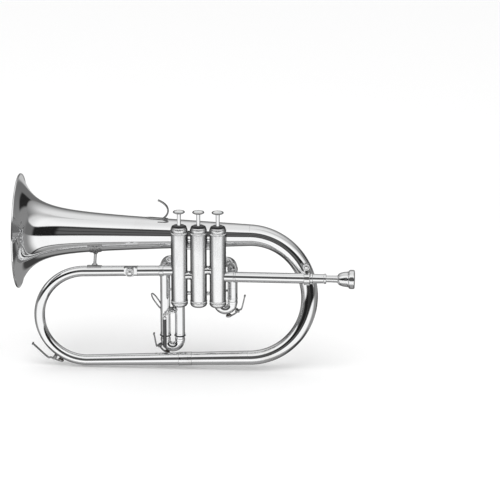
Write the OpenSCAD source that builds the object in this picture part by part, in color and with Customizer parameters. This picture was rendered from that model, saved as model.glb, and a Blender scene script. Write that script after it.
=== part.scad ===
// Flugelhorn in B flat with three piston valves, silver plated.
// Millimetres. +X points to the mouthpiece, +Y to the player's right, +Z up.
// The origin is below the middle of the horn, at the height of its lowest tube.

/* [Bell] */
// Radius of the rim
bell_rim_r = 76; // [75:0.5:77]
// Distance of the rim in front of the origin
bell_front = 223; // [221:0.5:225]
// Height of the bell's axis
bell_z = 177; // [176:0.5:179]
// Thickness of the sheet
sheet = 0.6; // [0.5:0.1:0.7]

/* [Bows] */
// Distance from the origin to the plane where the back bow starts
back_bow_x = 83.2; // [80:0.2:86]
// Radius of the back bow's centre line
back_bow_r = 80; // [79.5:0.1:80.5]
// Radius of the front bow's centre line
front_bow_r = 62; // [61.5:0.1:62.5]
// Outer radius of the front bow's tube
front_tube_r = 7; // [6.8:0.1:7.2]

/* [Valves] */
// Distance between two valves
valve_pitch = 25.4; // [25.2:0.1:25.6]
// Depth of the plane of the valves, measured from the bell's axis
valve_y = -31.5; // [-32:0.1:-31.5]
// Outer radius of a casing
casing_r = 10.8; // [10.7:0.1:10.9]
// Radius of a piston
piston_r = 8.6; // [8.4:0.1:8.7]
// How far a button travels
stroke = 16; // [14:0.5:16]
// Radius of a button
button_r = 8; // [7.5:0.1:8.5]

/* [Slides] */
// Depth of the plane of the first and third slides
slide_y = -13.5; // [-13.5:0.1:-13.2]
// Half the distance between a slide's two legs
leg_half = 9.6; // [9.5:0.1:9.7]
// Outer radius of a slide's inner leg
leg_r = 6; // [5.9:0.05:6.05]
// Outer radius of the sleeve that a leg runs in
sleeve_r = 6.55; // [6.5:0.05:6.6]
// Running clearance around anything that turns or slides
gap = 0.05; // [0.03:0.01:0.08]

/* [Hidden] */
$fn = 64;

silver = "#d4d6da";
satin_silver = "#c6c9ce";
felt_black = "#161618";
rubber_black = "#101012";
cork_tan = "#b98a5a";
spring_steel = "#8d9095";

// ---- sizes and places worked out from the values above ----

bore_r = 5.25;
inner_wall = 0.5;
joint_bore_r = bore_r - 0.3;

// Bell outline: a straight taper plus a flare that dies away behind the rim
bell_throat_r = 28.7;
bell_taper = 0.0476;
bell_flare = 53;
rim_wire_r = 1.3;
bell_start_x = -bell_front + rim_wire_r + 0.1;
bell_len = back_bow_x - bell_start_x;
bell_steps = 40;
bell_edge_r = bell_rim_r - rim_wire_r + 0.4;

// Back bow, from the lower tube up to the bell
back_bow_z = bell_z - back_bow_r;
lower_end_r = 9.3;
bow_steps = 32;
bow_sides = 28;

// Lower tube and front bow
front_bow_x = -131.4;
lower_back_z = bell_z - 2 * back_bow_r;
front_bow_z = 70.85;
lower_front_z = front_bow_z - front_bow_r;
exit_front_z = front_bow_z + front_bow_r;

// Valves, numbered from the player's end
valve_x = [for (i = [0:2]) 43.3 - i * valve_pitch];
port_z = [129, 137.5, 130.1, 136.3];
exit_r = 6.5;
upper_port_z = 146.5;
lower_port_z = 118;
casing_low = 91;
casing_high = 192;
thread_r = 10.2;
thread_low = 96;
thread_high = 187.5;
cap_r = 11.2;
cap_floor_z = 89.5;
cap_ceiling_z = 194.5;
cap_top_z = 197.2;
felt_top_z = 198.5;
piston_low = 109;
piston_high = 172;
spring_top_z = 121;
stem_r = 2.6;
button_low = felt_top_z + stroke + 0.1;
button_h = 3;

// Slides: the middle of each pair of legs, and the height of each bow's centre
slide_1_x = 51.7;
slide_3_x = -18.4;
slide_1_bow_z = 87;
slide_3_bow_z = 33.3;
slide_1_open_z = 92;
slide_3_open_z = 41;
leg_top_z = 108;
upper_elbow_r = 12;
lower_elbow_r = 7;
slide_2_z = 133.5;
slide_2_open_y = 3;
slide_2_bow_y = 7.5;
crook_r = 6.3;

// Trigger of the third slide
trigger_z = 75;
trigger_shaft_r = 1.45;
rod_x = slide_3_x - leg_half;
rod_y = -24;
rod_r = 2.45;
rod_low = 27;
rod_high = 69.2;
pusher_r = 2.3;
pusher_z = trigger_z - 3;

// Leadpipe and mouthpiece
lead_z = 129;
lead_r = 6.8;
tuning_r = 6.2;
clamp_x = [156.4, 164.4];
clamp_screw_x = 159.6;
clamp_screw_z = 146.4;
receiver_x = [164.6, 185.6];
shank_end_x = 200.2;
mouth_x = bell_front;

// Water keys
key_width = 3.4;
key_pin_r = 1;
barrel_r = 2.1;

// ---- general shapes ----

// Cylinder or cone from point a to point b
module rod(a, b, r1, r2) {
  d = b - a;
  flat = norm([d[0], d[1]]);
  translate(a)
    rotate([0, atan2(flat, d[2]), atan2(d[1], d[0])])
      cylinder(h = norm(d), r1 = r1, r2 = r2);
}

module rod_x(x0, x1, r, y, z) rod([x0, y, z], [x1, y, z], r, r);

// Part of a ring of round tube in the XZ plane, from angle a0 through sweep degrees
module arc_xz(centre, ring_r, r, a0, sweep) {
  translate(centre)
    rotate([90, 0, 0])
      rotate_extrude(angle = sweep, start = a0)
        translate([ring_r, 0])
          circle(r = r);
}

// Raised ring around a tube along X
module ferrule_x(x0, x1, r, inner, y, z) {
  edge = min(0.6, (x1 - x0) / 4);
  translate([x0, y, z])
    rotate([0, 90, 0])
      rotate_extrude()
        polygon([[inner, 0], [r - edge, 0], [r, edge], [r, x1 - x0 - edge],
                 [r - edge, x1 - x0], [inner, x1 - x0]]);
}

// Raised ring around a vertical tube
module ferrule_z(x, y, z0, z1, r, inner) {
  edge = min(0.5, (z1 - z0) / 4);
  translate([x, y, z0])
    rotate_extrude()
      polygon([[inner, 0], [r - edge, 0], [r, edge], [r, z1 - z0 - edge],
               [r - edge, z1 - z0], [inner, z1 - z0]]);
}

// Straight bar between two points of an XZ plane, w wide along Y. Its round ends swell a little
module flat_bar(a, b, y, w, t, swell = 0.12) {
  d = b - a;
  end_r = t / 2 + swell;
  translate([a[0], y - w / 2, a[1]])
    rotate([0, -atan2(d[1], d[0]), 0])
      translate([0, 0, -t / 2])
        cube([norm(d), w, t]);
  for (p = [a, b])
    rod([p[0], y - w / 2, p[1]], [p[0], y + w / 2, p[1]], end_r, end_r);
}

// Coil spring standing on z0, as one closed strip of small rings
module coil(x, y, z0, z1, coil_r, wire_r, turns) {
  steps = turns * 16;
  sides = 6;
  lead = (z1 - z0 - 2 * wire_r) / steps;
  points = [
    for (i = [0:steps], k = [0:sides - 1])
      let (a = i * 22.5, b = k * 360 / sides, r = coil_r + wire_r * cos(b))
        [x + r * cos(a), y + r * sin(a), z0 + wire_r + i * lead + wire_r * sin(b)]
  ];
  skin = [
    for (i = [0:steps - 1], k = [0:sides - 1])
      let (n = (k + 1) % sides)
        [i * sides + k, i * sides + n, (i + 1) * sides + n, (i + 1) * sides + k]
  ];
  ends = [[for (k = [0:sides - 1]) sides - 1 - k], [for (k = [0:sides - 1]) steps * sides + k]];
  polyhedron(points, concat(skin, ends), convexity = 8);
}

// ---- bell, bows and tubes ----

function bell_r(d) =
  bell_throat_r - bell_taper * d + (bell_edge_r - bell_throat_r) / pow(1 + d / bell_flare, 3);

function bell_slope(d) =
  -bell_taper - 3 * (bell_edge_r - bell_throat_r) / bell_flare / pow(1 + d / bell_flare, 4);

// Points of the bell's outline, moved outward by shift along its normal
function bell_line(shift, d0, d1) = [
  for (i = [0:bell_steps])
    let (d = d0 + (d1 - d0) * pow(i / bell_steps, 1.8), s = bell_slope(d), n = norm([1, s]))
      [bell_r(d) + shift / n, d - shift * s / n]
];

function reversed(list) = [for (i = [len(list) - 1:-1:0]) list[i]];

// Shell that follows the bell, between two distances behind the rim
module bell_shell(inside, outside, d0, d1) {
  translate([bell_start_x, 0, bell_z])
    rotate([0, 90, 0])
      rotate_extrude()
        polygon(concat(bell_line(outside, d0, d1), reversed(bell_line(inside, d0, d1))));
}

module bell() {
  color(silver)
    bell_shell(-sheet, 0, 0, bell_len);
}

// Wire that stiffens the rim, with a narrow flat to stand on
module bell_rim_wire() {
  color(silver)
    translate([-bell_front, 0, bell_z])
      rotate([0, 90, 0])
        rotate_extrude()
          intersection() {
            translate([bell_rim_r - rim_wire_r, rim_wire_r - 0.2])
              circle(r = rim_wire_r, $fn = 40);
            translate([bell_rim_r - 3 * rim_wire_r, 0])
              square([4 * rim_wire_r, 4 * rim_wire_r]);
          }
}

// Share of the way along the back bow, 0 at the lower tube and 1 at the bell
function bow_ease(t) = t * t * (3 - 2 * t);

function bow_tube_r(t) = lower_end_r + 1.8 * t + 3.2 * t * t;

function bow_centre(t) = [
  back_bow_x + back_bow_r * sin(180 * t),
  valve_y * (1 - bow_ease(t)),
  back_bow_z - back_bow_r * cos(180 * t)
];

// Ring of points around the bow at t, with the tube's wall taken off by inset
function bow_ring(t, inset) =
  let (c = bow_centre(t),
       outward = [sin(180 * t), 0, -cos(180 * t)],
       lean = -valve_y * 6 * t * (1 - t) / (PI * back_bow_r),
       along = [cos(180 * t), lean, sin(180 * t)] / norm([1, lean]),
       side = cross(along, outward),
       r = bow_tube_r(t) - inset)
  [for (k = [0:bow_sides - 1])
     let (a = 360 * k / bow_sides)
       c + r * (cos(a) * outward + sin(a) * side)];

// Tube that grows from the lower tube to the bell and moves across as it climbs
module back_bow() {
  n = bow_sides;
  rings = bow_steps + 1;
  points = [for (inset = [0, sheet], i = [0:bow_steps]) each bow_ring(i / bow_steps, inset)];
  outer = [
    for (i = [0:bow_steps - 1], k = [0:n - 1])
      [i * n + k, (i + 1) * n + k, (i + 1) * n + (k + 1) % n, i * n + (k + 1) % n]
  ];
  inner = [for (f = outer) [for (j = [3:-1:0]) f[j] + rings * n]];
  low_end = [for (k = [0:n - 1]) [k, (k + 1) % n, (k + 1) % n + rings * n, k + rings * n]];
  high_end = [for (f = low_end) [for (j = [3:-1:0]) f[j] + bow_steps * n]];
  color(silver)
    polyhedron(points, concat(outer, inner, low_end, high_end), convexity = 6);
}

// Tapered tube between the two bows
module lower_tube() {
  a = [back_bow_x, valve_y, lower_back_z];
  b = [front_bow_x, valve_y, lower_front_z];
  past = (b - a) / norm(b - a);
  color(silver)
    difference() {
      rod(a, b, lower_end_r, front_tube_r);
      rod(a - past, b + past, lower_end_r - sheet, front_tube_r - sheet);
    }
}

module front_bow() {
  centre = [front_bow_x, valve_y, front_bow_z];
  color(silver)
    difference() {
      arc_xz(centre, front_bow_r, front_tube_r, 90, 180);
      arc_xz(centre, front_bow_r, front_tube_r - sheet, 89, 182);
    }
}

module casing_cut(i) {
  translate([valve_x[i], valve_y, casing_low])
    cylinder(h = casing_high - casing_low, r = casing_r);
}

// Tube from the third valve forward to the front bow
module exit_tube() {
  a = [valve_x[2], valve_y, port_z[3]];
  b = [front_bow_x, valve_y, exit_front_z];
  past = (b - a) / norm(b - a);
  color(silver)
    difference() {
      rod(a, b, exit_r, front_tube_r);
      rod(a, b + past, exit_r - sheet, front_tube_r - sheet);
      casing_cut(2);
    }
}

// Raised bands where the main tubes are joined
module ferrules() {
  lower_slope = (lower_back_z - lower_front_z) / (back_bow_x - front_bow_x);
  exit_slope = (port_z[3] - exit_front_z) / (valve_x[2] - front_bow_x);
  lower_r = lower_end_r + (front_tube_r - lower_end_r) * 0.4;
  color(silver) {
    translate([-9.3, valve_y, lower_back_z + lower_slope * (-9.3 - back_bow_x)])
      rotate([0, -atan(lower_slope), 0])
        ferrule_x(0, 18.3, lower_r + 0.5, lower_r - 0.3, 0, 0);
    for (band = [[-63.4, 1.2, 0.3], [-34, 6, 0.8]])
      translate([band[0], valve_y, exit_front_z + exit_slope * (band[0] - front_bow_x)])
        rotate([0, -atan(exit_slope), 0])
          ferrule_x(0, band[1], exit_r + 0.2 + band[2], exit_r - 0.1, 0, 0);
    ferrule_x(63.5, 66.7, lead_r + 0.6, lead_r - 0.1, valve_y, lead_z);
  }
}

// ---- valves ----

// Direction in plan from casing i to the far leg of its slide
function far_leg(i) =
  i == 0 ? [slide_1_x + leg_half, slide_y] - [valve_x[0], valve_y]
         : [slide_3_x - leg_half, slide_y] - [valve_x[2], valve_y];

// Openings of casing i: direction in plan and height
function ports(i) = concat(
  [[[1, 0], port_z[i]], [[-1, 0], port_z[i + 1]]],
  i == 1
    ? [[[0, 1], slide_2_z + leg_half], [[0, 1], slide_2_z - leg_half]]
    : [[far_leg(i), upper_port_z], [[0, 1], lower_port_z]]
);

module casing(i) {
  color(satin_silver)
    difference() {
      union() {
        translate([valve_x[i], valve_y, thread_low])
          cylinder(h = thread_high - thread_low, r = casing_r);
        translate([valve_x[i], valve_y, casing_low])
          cylinder(h = casing_high - casing_low, r = thread_r);
      }
      translate([valve_x[i], valve_y, casing_low - 1])
        cylinder(h = casing_high - casing_low + 2, r = piston_r + gap);
      for (p = ports(i))
        let (d = 2 * casing_r * p[0] / norm(p[0]))
          rod([valve_x[i], valve_y, p[1]], [valve_x[i] + d[0], valve_y + d[1], p[1]],
              bore_r, bore_r);
    }
}

// Screw caps over the tops of the casings, with a hole for each stem
module top_caps() {
  color(silver)
    for (x = valve_x)
      translate([x, valve_y, 0])
        rotate_extrude()
          polygon([
            [thread_r, thread_high], [cap_r - 0.3, thread_high], [cap_r, thread_high + 0.4],
            [cap_r, 189.6], [cap_r - 0.7, 190.2], [cap_r - 0.7, 190.8], [cap_r, 191.4],
            [cap_r, 193.2], [cap_r - 0.5, 194],
            for (a = [10:16:90]) [7.6 + 3 * cos(a), 194.2 + (cap_top_z - 194.2) * sin(a)],
            [stem_r + gap, cap_top_z], [stem_r + gap, cap_ceiling_z],
            [piston_r, cap_ceiling_z], [piston_r, casing_high], [thread_r, casing_high]
          ]);
}

// Screw caps under the casings, domed, with a breathing hole
module bottom_caps() {
  color(silver)
    for (x = valve_x)
      translate([x, valve_y, 0])
        rotate_extrude()
          polygon([
            [thread_r, thread_low], [cap_r - 0.3, thread_low], [cap_r, thread_low - 0.4],
            [cap_r, 94.2], [cap_r - 0.6, 93.6], [cap_r - 0.6, 93], [cap_r, 92.4], [cap_r, 91],
            for (a = [0:15:75]) [4.5 + 6.2 * cos(a), 90.6 - 3.6 * sin(a)],
            [1.8, 87], [1.8, cap_floor_z], [thread_r - 1, cap_floor_z],
            [thread_r - 1, casing_low], [thread_r, casing_low]
          ]);
}

module cap_felts() {
  color(felt_black)
    for (x = valve_x)
      translate([x, valve_y, cap_top_z])
        difference() {
          cylinder(h = felt_top_z - cap_top_z, r = 7.4);
          translate([0, 0, -1])
            cylinder(h = 5, r = stem_r + 0.2);
        }
}

// Short tubes between neighbouring casings
module valve_knuckles() {
  color(silver)
    for (i = [0:1])
      let (mid = (valve_x[i] + valve_x[i + 1]) / 2)
        difference() {
          union() {
            rod_x(valve_x[i + 1], valve_x[i], bore_r + sheet, valve_y, port_z[i + 1]);
            for (side = [-1, 1])
              rod([mid + side * 4.2, valve_y, port_z[i + 1]],
                  [mid + side * 1.2, valve_y, port_z[i + 1]], 7.4, bore_r + sheet);
          }
          rod_x(valve_x[i + 1], valve_x[i], bore_r, valve_y, port_z[i + 1]);
          casing_cut(i);
          casing_cut(i + 1);
        }
}

// Round ties between the casings, low down and near the caps
module casing_braces() {
  color(silver)
    for (i = [0:1], z = [105.5, 168])
      difference() {
        rod_x(valve_x[i + 1], valve_x[i], 2.4, valve_y, z);
        casing_cut(i);
        casing_cut(i + 1);
      }
}

// Straight passage through the piston between two openings
module passage(a, b) {
  wall = piston_r + 1;
  pa = concat(wall * a[0] / norm(a[0]), [a[1]]);
  pb = concat(wall * b[0] / norm(b[0]), [b[1]]);
  rod(pa, pb, 4.6, 4.6);
}

// Place on the piston that meets an opening of the casing when the valve is down
function lowered(port) = [port[0], port[1] + stroke];

// Piston: one passage plays with the valve up, two with the valve down
module piston(i) {
  p = ports(i);
  color(satin_silver)
    translate([valve_x[i], valve_y, 0])
      difference() {
        translate([0, 0, piston_low])
          cylinder(h = piston_high - piston_low, r = piston_r);
        translate([0, 0, piston_low - 1])
          cylinder(h = spring_top_z - piston_low + 1, r = 6.4);
        translate([0, 0, piston_high - 3])
          cylinder(h = 4, r = stem_r + 0.4);
        passage(p[0], p[1]);
        passage(lowered(p[0]), lowered(p[2]));
        passage(lowered(p[3]), lowered(p[1]));
      }
}

// Stem, with a collar that stops under the top cap
module stem(i) {
  color(silver)
    translate([valve_x[i], valve_y, 0]) {
      translate([0, 0, piston_high - 3])
        cylinder(h = button_low - piston_high + 3, r = stem_r);
      translate([0, 0, 190.5])
        cylinder(h = cap_ceiling_z - 0.1 - 190.5, r = 5.2);
      translate([0, 0, piston_high])
        cylinder(h = 3, r = 5.2);
    }
}

// Finger button with a dished top
module button(i) {
  color(satin_silver)
    translate([valve_x[i], valve_y, button_low])
      rotate_extrude()
        polygon([
          [0, 0], [3.2, 0], [5.6, 0.35], [7.2, 0.9], [button_r - 0.1, 1.6],
          [button_r, 2.1], [button_r - 0.3, button_h - 0.3], [button_r - 0.9, button_h],
          [button_r - 1.6, button_h - 0.1], [5, button_h - 0.5], [0, button_h - 0.8]
        ]);
}

module valve_spring(i) {
  color(spring_steel)
    coil(valve_x[i], valve_y, cap_floor_z, spring_top_z, 5.2, 0.45, 8);
}

// ---- valve slides ----

// Sleeve for one leg. A ring joins it to a quarter bend, and a second ring joins the bend
// to the short tube that runs into casing i at height z
module sleeve(i, x, z, bend_r, open_z) {
  d = [valve_x[i] - x, valve_y - slide_y];
  turn = atan2(d[1], d[0]);
  bend_z = z - bend_r;
  seat_z = leg_top_z + 0.5;
  joint_r = sleeve_r + 0.4;
  translate([x, slide_y, 0])
    rotate_extrude()
      polygon([
        [leg_r + gap, open_z], [joint_r - 0.15, open_z], [joint_r - 0.15, open_z + 2.6],
        [sleeve_r, open_z + 2.6], [sleeve_r, bend_z - 2], [joint_r, bend_z - 2],
        [joint_r, bend_z + 1.5], [joint_bore_r, bend_z + 1.5], [joint_bore_r, seat_z],
        [leg_r + gap, seat_z]
      ]);
  translate([x, slide_y, bend_z])
    rotate([0, 0, turn])
      rotate([90, 0, 0])
        translate([bend_r, 0, 0])
          rotate_extrude(angle = 90, start = 90)
            translate([bend_r, 0])
              difference() {
                circle(r = sleeve_r);
                circle(r = bore_r);
              }
  difference() {
    translate([x + bend_r * cos(turn), slide_y + bend_r * sin(turn), z])
      rotate([0, 90, turn])
        rotate_extrude()
          polygon([
            [joint_bore_r, -1.5], [joint_r, -1.5], [joint_r, 1.5], [sleeve_r, 1.5],
            [sleeve_r, norm(d) - bend_r], [joint_bore_r, norm(d) - bend_r]
          ]);
    casing_cut(i);
  }
}

// Fixed sleeves of the first or third slide, with a tie between the legs
module sleeves(i, far_x, near_x, open_z) {
  color(silver) {
    sleeve(i, far_x, upper_port_z, upper_elbow_r, open_z);
    sleeve(i, near_x, lower_port_z, lower_elbow_r, open_z);
    difference() {
      rod_x(min(far_x, near_x), max(far_x, near_x), 1.6, slide_y, 104);
      for (x = [far_x, near_x])
        translate([x, slide_y, 90])
          cylinder(h = 30, r = sleeve_r - 0.1);
    }
  }
}

module slide_1_sleeves() sleeves(0, slide_1_x + leg_half, slide_1_x - leg_half, slide_1_open_z);
module slide_3_sleeves() sleeves(2, slide_3_x - leg_half, slide_3_x + leg_half, slide_3_open_z);

module slide_2_sleeves() {
  color(silver)
    for (side = [-1, 1])
      difference() {
        union() {
          rod([valve_x[1], valve_y, slide_2_z + side * leg_half],
              [valve_x[1], slide_2_open_y, slide_2_z + side * leg_half], sleeve_r, sleeve_r);
          rod([valve_x[1], slide_2_open_y - 2.6, slide_2_z + side * leg_half],
              [valve_x[1], slide_2_open_y, slide_2_z + side * leg_half],
              sleeve_r + 0.4, sleeve_r + 0.4);
        }
        rod([valve_x[1], valve_y - 1, slide_2_z + side * leg_half],
            [valve_x[1], slide_2_open_y + 1, slide_2_z + side * leg_half],
            leg_r + gap, leg_r + gap);
        casing_cut(1);
      }
}

// U-shaped slide in the XZ plane, legs up, hollow
module u_slide(mid_x, bow_z) {
  centre = [mid_x, slide_y, bow_z];
  color(silver)
    difference() {
      union() {
        for (side = [-1, 1])
          let (x = mid_x + side * leg_half) {
            translate([x, slide_y, bow_z])
              cylinder(h = leg_top_z - bow_z, r = leg_r);
            ferrule_z(x, slide_y, bow_z - 0.5, bow_z + 3, crook_r + 0.4, leg_r - 0.2);
          }
        arc_xz(centre, leg_half, crook_r, 180, 180);
      }
      for (side = [-1, 1])
        translate([mid_x + side * leg_half, slide_y, bow_z - 0.01])
          cylinder(h = leg_top_z - bow_z + 1, r = leg_r - inner_wall);
      arc_xz(centre, leg_half, leg_r - inner_wall, 180, 180);
    }
}

module slide_1() u_slide(slide_1_x, slide_1_bow_z);
module slide_3() u_slide(slide_3_x, slide_3_bow_z);

// Second slide, lying along Y behind the middle valve, with a pull knob
module slide_2() {
  x = valve_x[1];
  back = slide_2_bow_y + leg_half + crook_r;
  color(silver)
    difference() {
      union() {
        for (side = [-1, 1])
          let (z = slide_2_z + side * leg_half) {
            rod([x, -16, z], [x, slide_2_bow_y, z], leg_r, leg_r);
            rod([x, slide_2_bow_y - 3, z], [x, slide_2_bow_y + 0.5, z],
                crook_r + 0.4, crook_r + 0.4);
          }
        half_bow_2(crook_r);
        rod([x, back - 1, slide_2_z], [x, back + 2, slide_2_z], 1.8, 1.8);
        rod([x, back + 2, slide_2_z], [x, back + 4.5, slide_2_z], 3.4, 4);
      }
      for (side = [-1, 1])
        rod([x, -17, slide_2_z + side * leg_half],
            [x, slide_2_bow_y + 0.01, slide_2_z + side * leg_half],
            leg_r - inner_wall, leg_r - inner_wall);
      half_bow_2(leg_r - inner_wall);
    }
}

module half_bow_2(r) {
  translate([valve_x[1], slide_2_bow_y, slide_2_z])
    rotate([0, 90, 0])
      rotate_extrude(angle = 180)
        translate([leg_half, 0])
          circle(r = r);
}

// Rubber rings that the third slide's sleeves close against
module slide_3_bumpers() {
  color(rubber_black)
    for (side = [-1, 1])
      translate([slide_3_x + side * leg_half, slide_y, slide_3_open_z - 0.85])
        rotate_extrude()
          translate([leg_r + 0.82, 0])
            circle(r = 0.8, $fn = 32);
}

// ---- trigger of the third slide ----

// Bearing of the trigger's shaft, between the sleeves
module trigger_bracket() {
  color(silver)
    difference() {
      union() {
        rod([slide_3_x, -20.4, trigger_z], [slide_3_x, -6.6, trigger_z], 2.9, 2.9);
        translate([slide_3_x - 4.5, slide_y - 3.5, trigger_z - 4])
          cube([9, 7, 8]);
      }
      rod([slide_3_x, -22, trigger_z], [slide_3_x, -5, trigger_z],
          trigger_shaft_r + gap, trigger_shaft_r + gap);
      for (side = [-1, 1])
        translate([slide_3_x + side * leg_half, slide_y, trigger_z - 10])
          cylinder(h = 20, r = sleeve_r);
    }
}

// Ring for the finger, an oval of round wire that stands across the horn
module finger_ring() {
  ring_r = 9.5;
  half_len = 2.4;
  wire = 1.05;
  translate([-41, 4.6, 81.2])
    rotate([0, -125.3, 0]) {
      for (side = [0, 180])
        rotate([0, 0, side]) {
          translate([half_len, 0, 0])
            rotate_extrude(angle = 180, start = -90)
              translate([ring_r, 0])
                circle(r = wire);
          translate([-half_len, ring_r, 0])
            rotate([0, 90, 0])
              cylinder(h = 2 * half_len, r = wire);
        }
    }
}

module trigger_lever() {
  color(silver) {
    rod([slide_3_x, rod_y - 1.6, trigger_z], [slide_3_x, -1, trigger_z],
        trigger_shaft_r, trigger_shaft_r);
    flat_bar([slide_3_x, trigger_z], [rod_x, pusher_z], rod_y, 3.2, 3.2, 0);
    translate([rod_x, rod_y, pusher_z])
      sphere(r = pusher_r);
    flat_bar([slide_3_x, trigger_z], [-34.3, 72.2], -3, 5, 2.6, 0);
    rod([-34.3, -5.5, 72.2], [-34.3, 5, 72.2], 1.5, 1.5);
    finger_ring();
  }
}

// Rod that carries the lever's push down to the slide
module push_rod() {
  color(silver) {
    translate([rod_x, rod_y, rod_low])
      cylinder(h = rod_high - rod_low, r = rod_r);
    difference() {
      translate([rod_x - 2, rod_y, 28.5])
        cube([4, 8, 5]);
      translate([rod_x, slide_y, 20])
        cylinder(h = 30, r = crook_r + 0.41);
    }
  }
}

// ---- water keys ----

// Point at angle a and radius r from the centre c of a bow
function polar(c, a, r) = [c[0] + r * cos(a), c[1] + r * sin(a)];

function in_space(p, y) = [p[0], y, p[1]];

// One water key is: [bow centre, bow radius, tube radius, y, angle of the cup, hinge, bend, tip]
main_centre = [front_bow_x, front_bow_z];
main_key = [main_centre, front_bow_r, front_tube_r, valve_y, 241,
            polar(main_centre, 234, front_bow_r + 13), polar(main_centre, 227.6, 79),
            polar(main_centre, 209.5, 82.6)];
centre_1 = [slide_1_x, slide_1_bow_z];
key_1 = [centre_1, leg_half, crook_r, slide_y, -76, polar(centre_1, -34, 20.5),
         [73.5, 80], [77.5, 96.9]];
centre_3 = [slide_3_x, slide_3_bow_z];
key_3 = [centre_3, leg_half, crook_r, slide_y, 246, polar(centre_3, 204, 20.5),
         [-40.5, 25.5], [-43.5, 41.3]];

function cup_at(key, out) = in_space(polar(key[0], key[4], key[1] + key[2] + out), key[3]);

// Two ears and a spout, both let slightly into the wall of the bow
module key_saddle(key) {
  hinge = key[5];
  d = hinge - key[0];
  ear_t = 4.4;
  foot = key[0] + d / norm(d) * (key[1] + key[2] + ear_t / 2 - 1.1);
  color(silver)
    difference() {
      union() {
        for (side = [-1, 1])
          flat_bar(foot, hinge, key[3] + side * (key_width / 2 + 1), 1.4, ear_t);
        rod(cup_at(key, -0.75), cup_at(key, 1.6), 3, 2.6);
      }
      rod(in_space(hinge, key[3] - 9), in_space(hinge, key[3] + 9), key_pin_r, key_pin_r);
      rod(cup_at(key, -3), cup_at(key, 3), 1.2, 1.2);
    }
}

module key_pin(key) {
  half = key_width / 2 + 2.2;
  color(silver)
    rod(in_space(key[5], key[3] - half), in_space(key[5], key[3] + half), key_pin_r, key_pin_r);
}

// Lever with its cup, from the spout past the hinge to the finger tip
module key_lever(key) {
  hinge = key[5];
  y = key[3];
  cup = cup_at(key, 4.3);
  half = key_width / 2;
  color(silver)
    difference() {
      union() {
        rod(in_space(hinge, y - half), in_space(hinge, y + half), barrel_r, barrel_r);
        rod(cup_at(key, 2.6), cup_at(key, 4.6), 4, 3.4);
        flat_bar([cup[0], cup[2]], hinge, y, key_width - 0.6, 1.6);
        flat_bar(hinge, key[6], y, key_width - 0.3, 1.8);
        flat_bar(key[6], key[7], y, key_width + 0.8, 1.5);
        rod(in_space(key[7], y - 3), in_space(key[7], y + 3), 1.3, 1.3);
      }
      rod(in_space(hinge, y - 9), in_space(hinge, y + 9), key_pin_r + gap, key_pin_r + gap);
      rod(cup_at(key, 0), cup_at(key, 3.2), 3.1, 3.1);
    }
}

module key_cork(key) {
  color(cork_tan)
    rod(cup_at(key, 1.62), cup_at(key, 3.2), 3.1, 3.1);
}

// ---- leadpipe and mouthpiece ----

module leadpipe_sleeve() {
  color(silver)
    difference() {
      rod_x(valve_x[0], clamp_x[1], lead_r, valve_y, lead_z);
      rod_x(valve_x[0] - 1, 74, bore_r, valve_y, lead_z);
      rod_x(74, clamp_x[1] + 1, tuning_r + gap, valve_y, lead_z);
      casing_cut(0);
    }
}

// Inner pipe that pulls out to tune the horn
module tuning_pipe() {
  color(silver)
    difference() {
      rod_x(78, receiver_x[0], tuning_r, valve_y, lead_z);
      rod([77, valve_y, lead_z], [receiver_x[0] + 1, valve_y, lead_z], 5.2, 4.6);
    }
}

function shank_r(x) = 4.6 - 0.02 * (shank_end_x - x);

// Socket for the mouthpiece, with a bead at its mouth
module receiver() {
  x0 = receiver_x[0];
  x1 = receiver_x[1];
  color(silver)
    difference() {
      union() {
        rod([x0, valve_y, lead_z], [x1, valve_y, lead_z], 6.3, 5.8);
        ferrule_x(x0, x0 + 3.4, 7, 5, valve_y, lead_z);
        ferrule_x(x1 - 3, x1, 6.7, 5, valve_y, lead_z);
      }
      rod([x0 - 1, valve_y, lead_z], [x1 + 1, valve_y, lead_z],
          shank_r(x0 - 1) + gap, shank_r(x1 + 1) + gap);
    }
}

// Mouthpiece: shank, cup and rounded rim
module mouthpiece() {
  start = receiver_x[0] + 1.5;
  cup_x = 214.6;
  color(silver)
    translate([0, valve_y, lead_z])
      rotate([0, 90, 0])
        rotate_extrude()
          polygon([
            [shank_r(start) - 1, start], [shank_r(start), start],
            [shank_r(shank_end_x), shank_end_x],
            for (a = [0:12:84]) [4.8 + 5.3 * sin(a), 200.6 + (cup_x - 200.6) * (1 - cos(a))],
            [10.6, cup_x + 0.3], [11.9, cup_x + 1], [12.5, cup_x + 2.2], [12.6, cup_x + 4],
            for (a = [0:22.5:90]) [10.6 + 2 * cos(a), mouth_x - 2 + 2 * sin(a)],
            [9.3, mouth_x - 0.4], [8.3, mouth_x - 1.6],
            for (a = [0:15:75]) [1.9 + 6 * cos(a), mouth_x - 4 - 12 * sin(a)],
            [1.9, mouth_x - 18]
          ]);
}

// Split collar that grips the sleeve, with a lug for its screw
module tuning_clamp() {
  color(silver)
    difference() {
      union() {
        ferrule_x(clamp_x[0], clamp_x[1], lead_r + 1.9, lead_r, valve_y, lead_z);
        translate([clamp_screw_x - 2.8, valve_y - 4, lead_z + lead_r + 0.6])
          cube([5.6, 8, 13]);
      }
      translate([clamp_x[0] - 1, valve_y - 0.6, lead_z])
        cube([20, 1.2, 30]);
      rod_x(clamp_x[0] - 1, clamp_x[1] + 1, lead_r, valve_y, lead_z);
      rod([clamp_screw_x, valve_y - 9, clamp_screw_z], [clamp_screw_x, valve_y + 9, clamp_screw_z],
          1.6 + gap, 1.6 + gap);
    }
}

// Thumbscrew with a coin-edged head
module clamp_screw() {
  thumbscrew([clamp_screw_x, valve_y - 4.1, clamp_screw_z], 4.6, 3, 1.6, 8.5);
}

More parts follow.
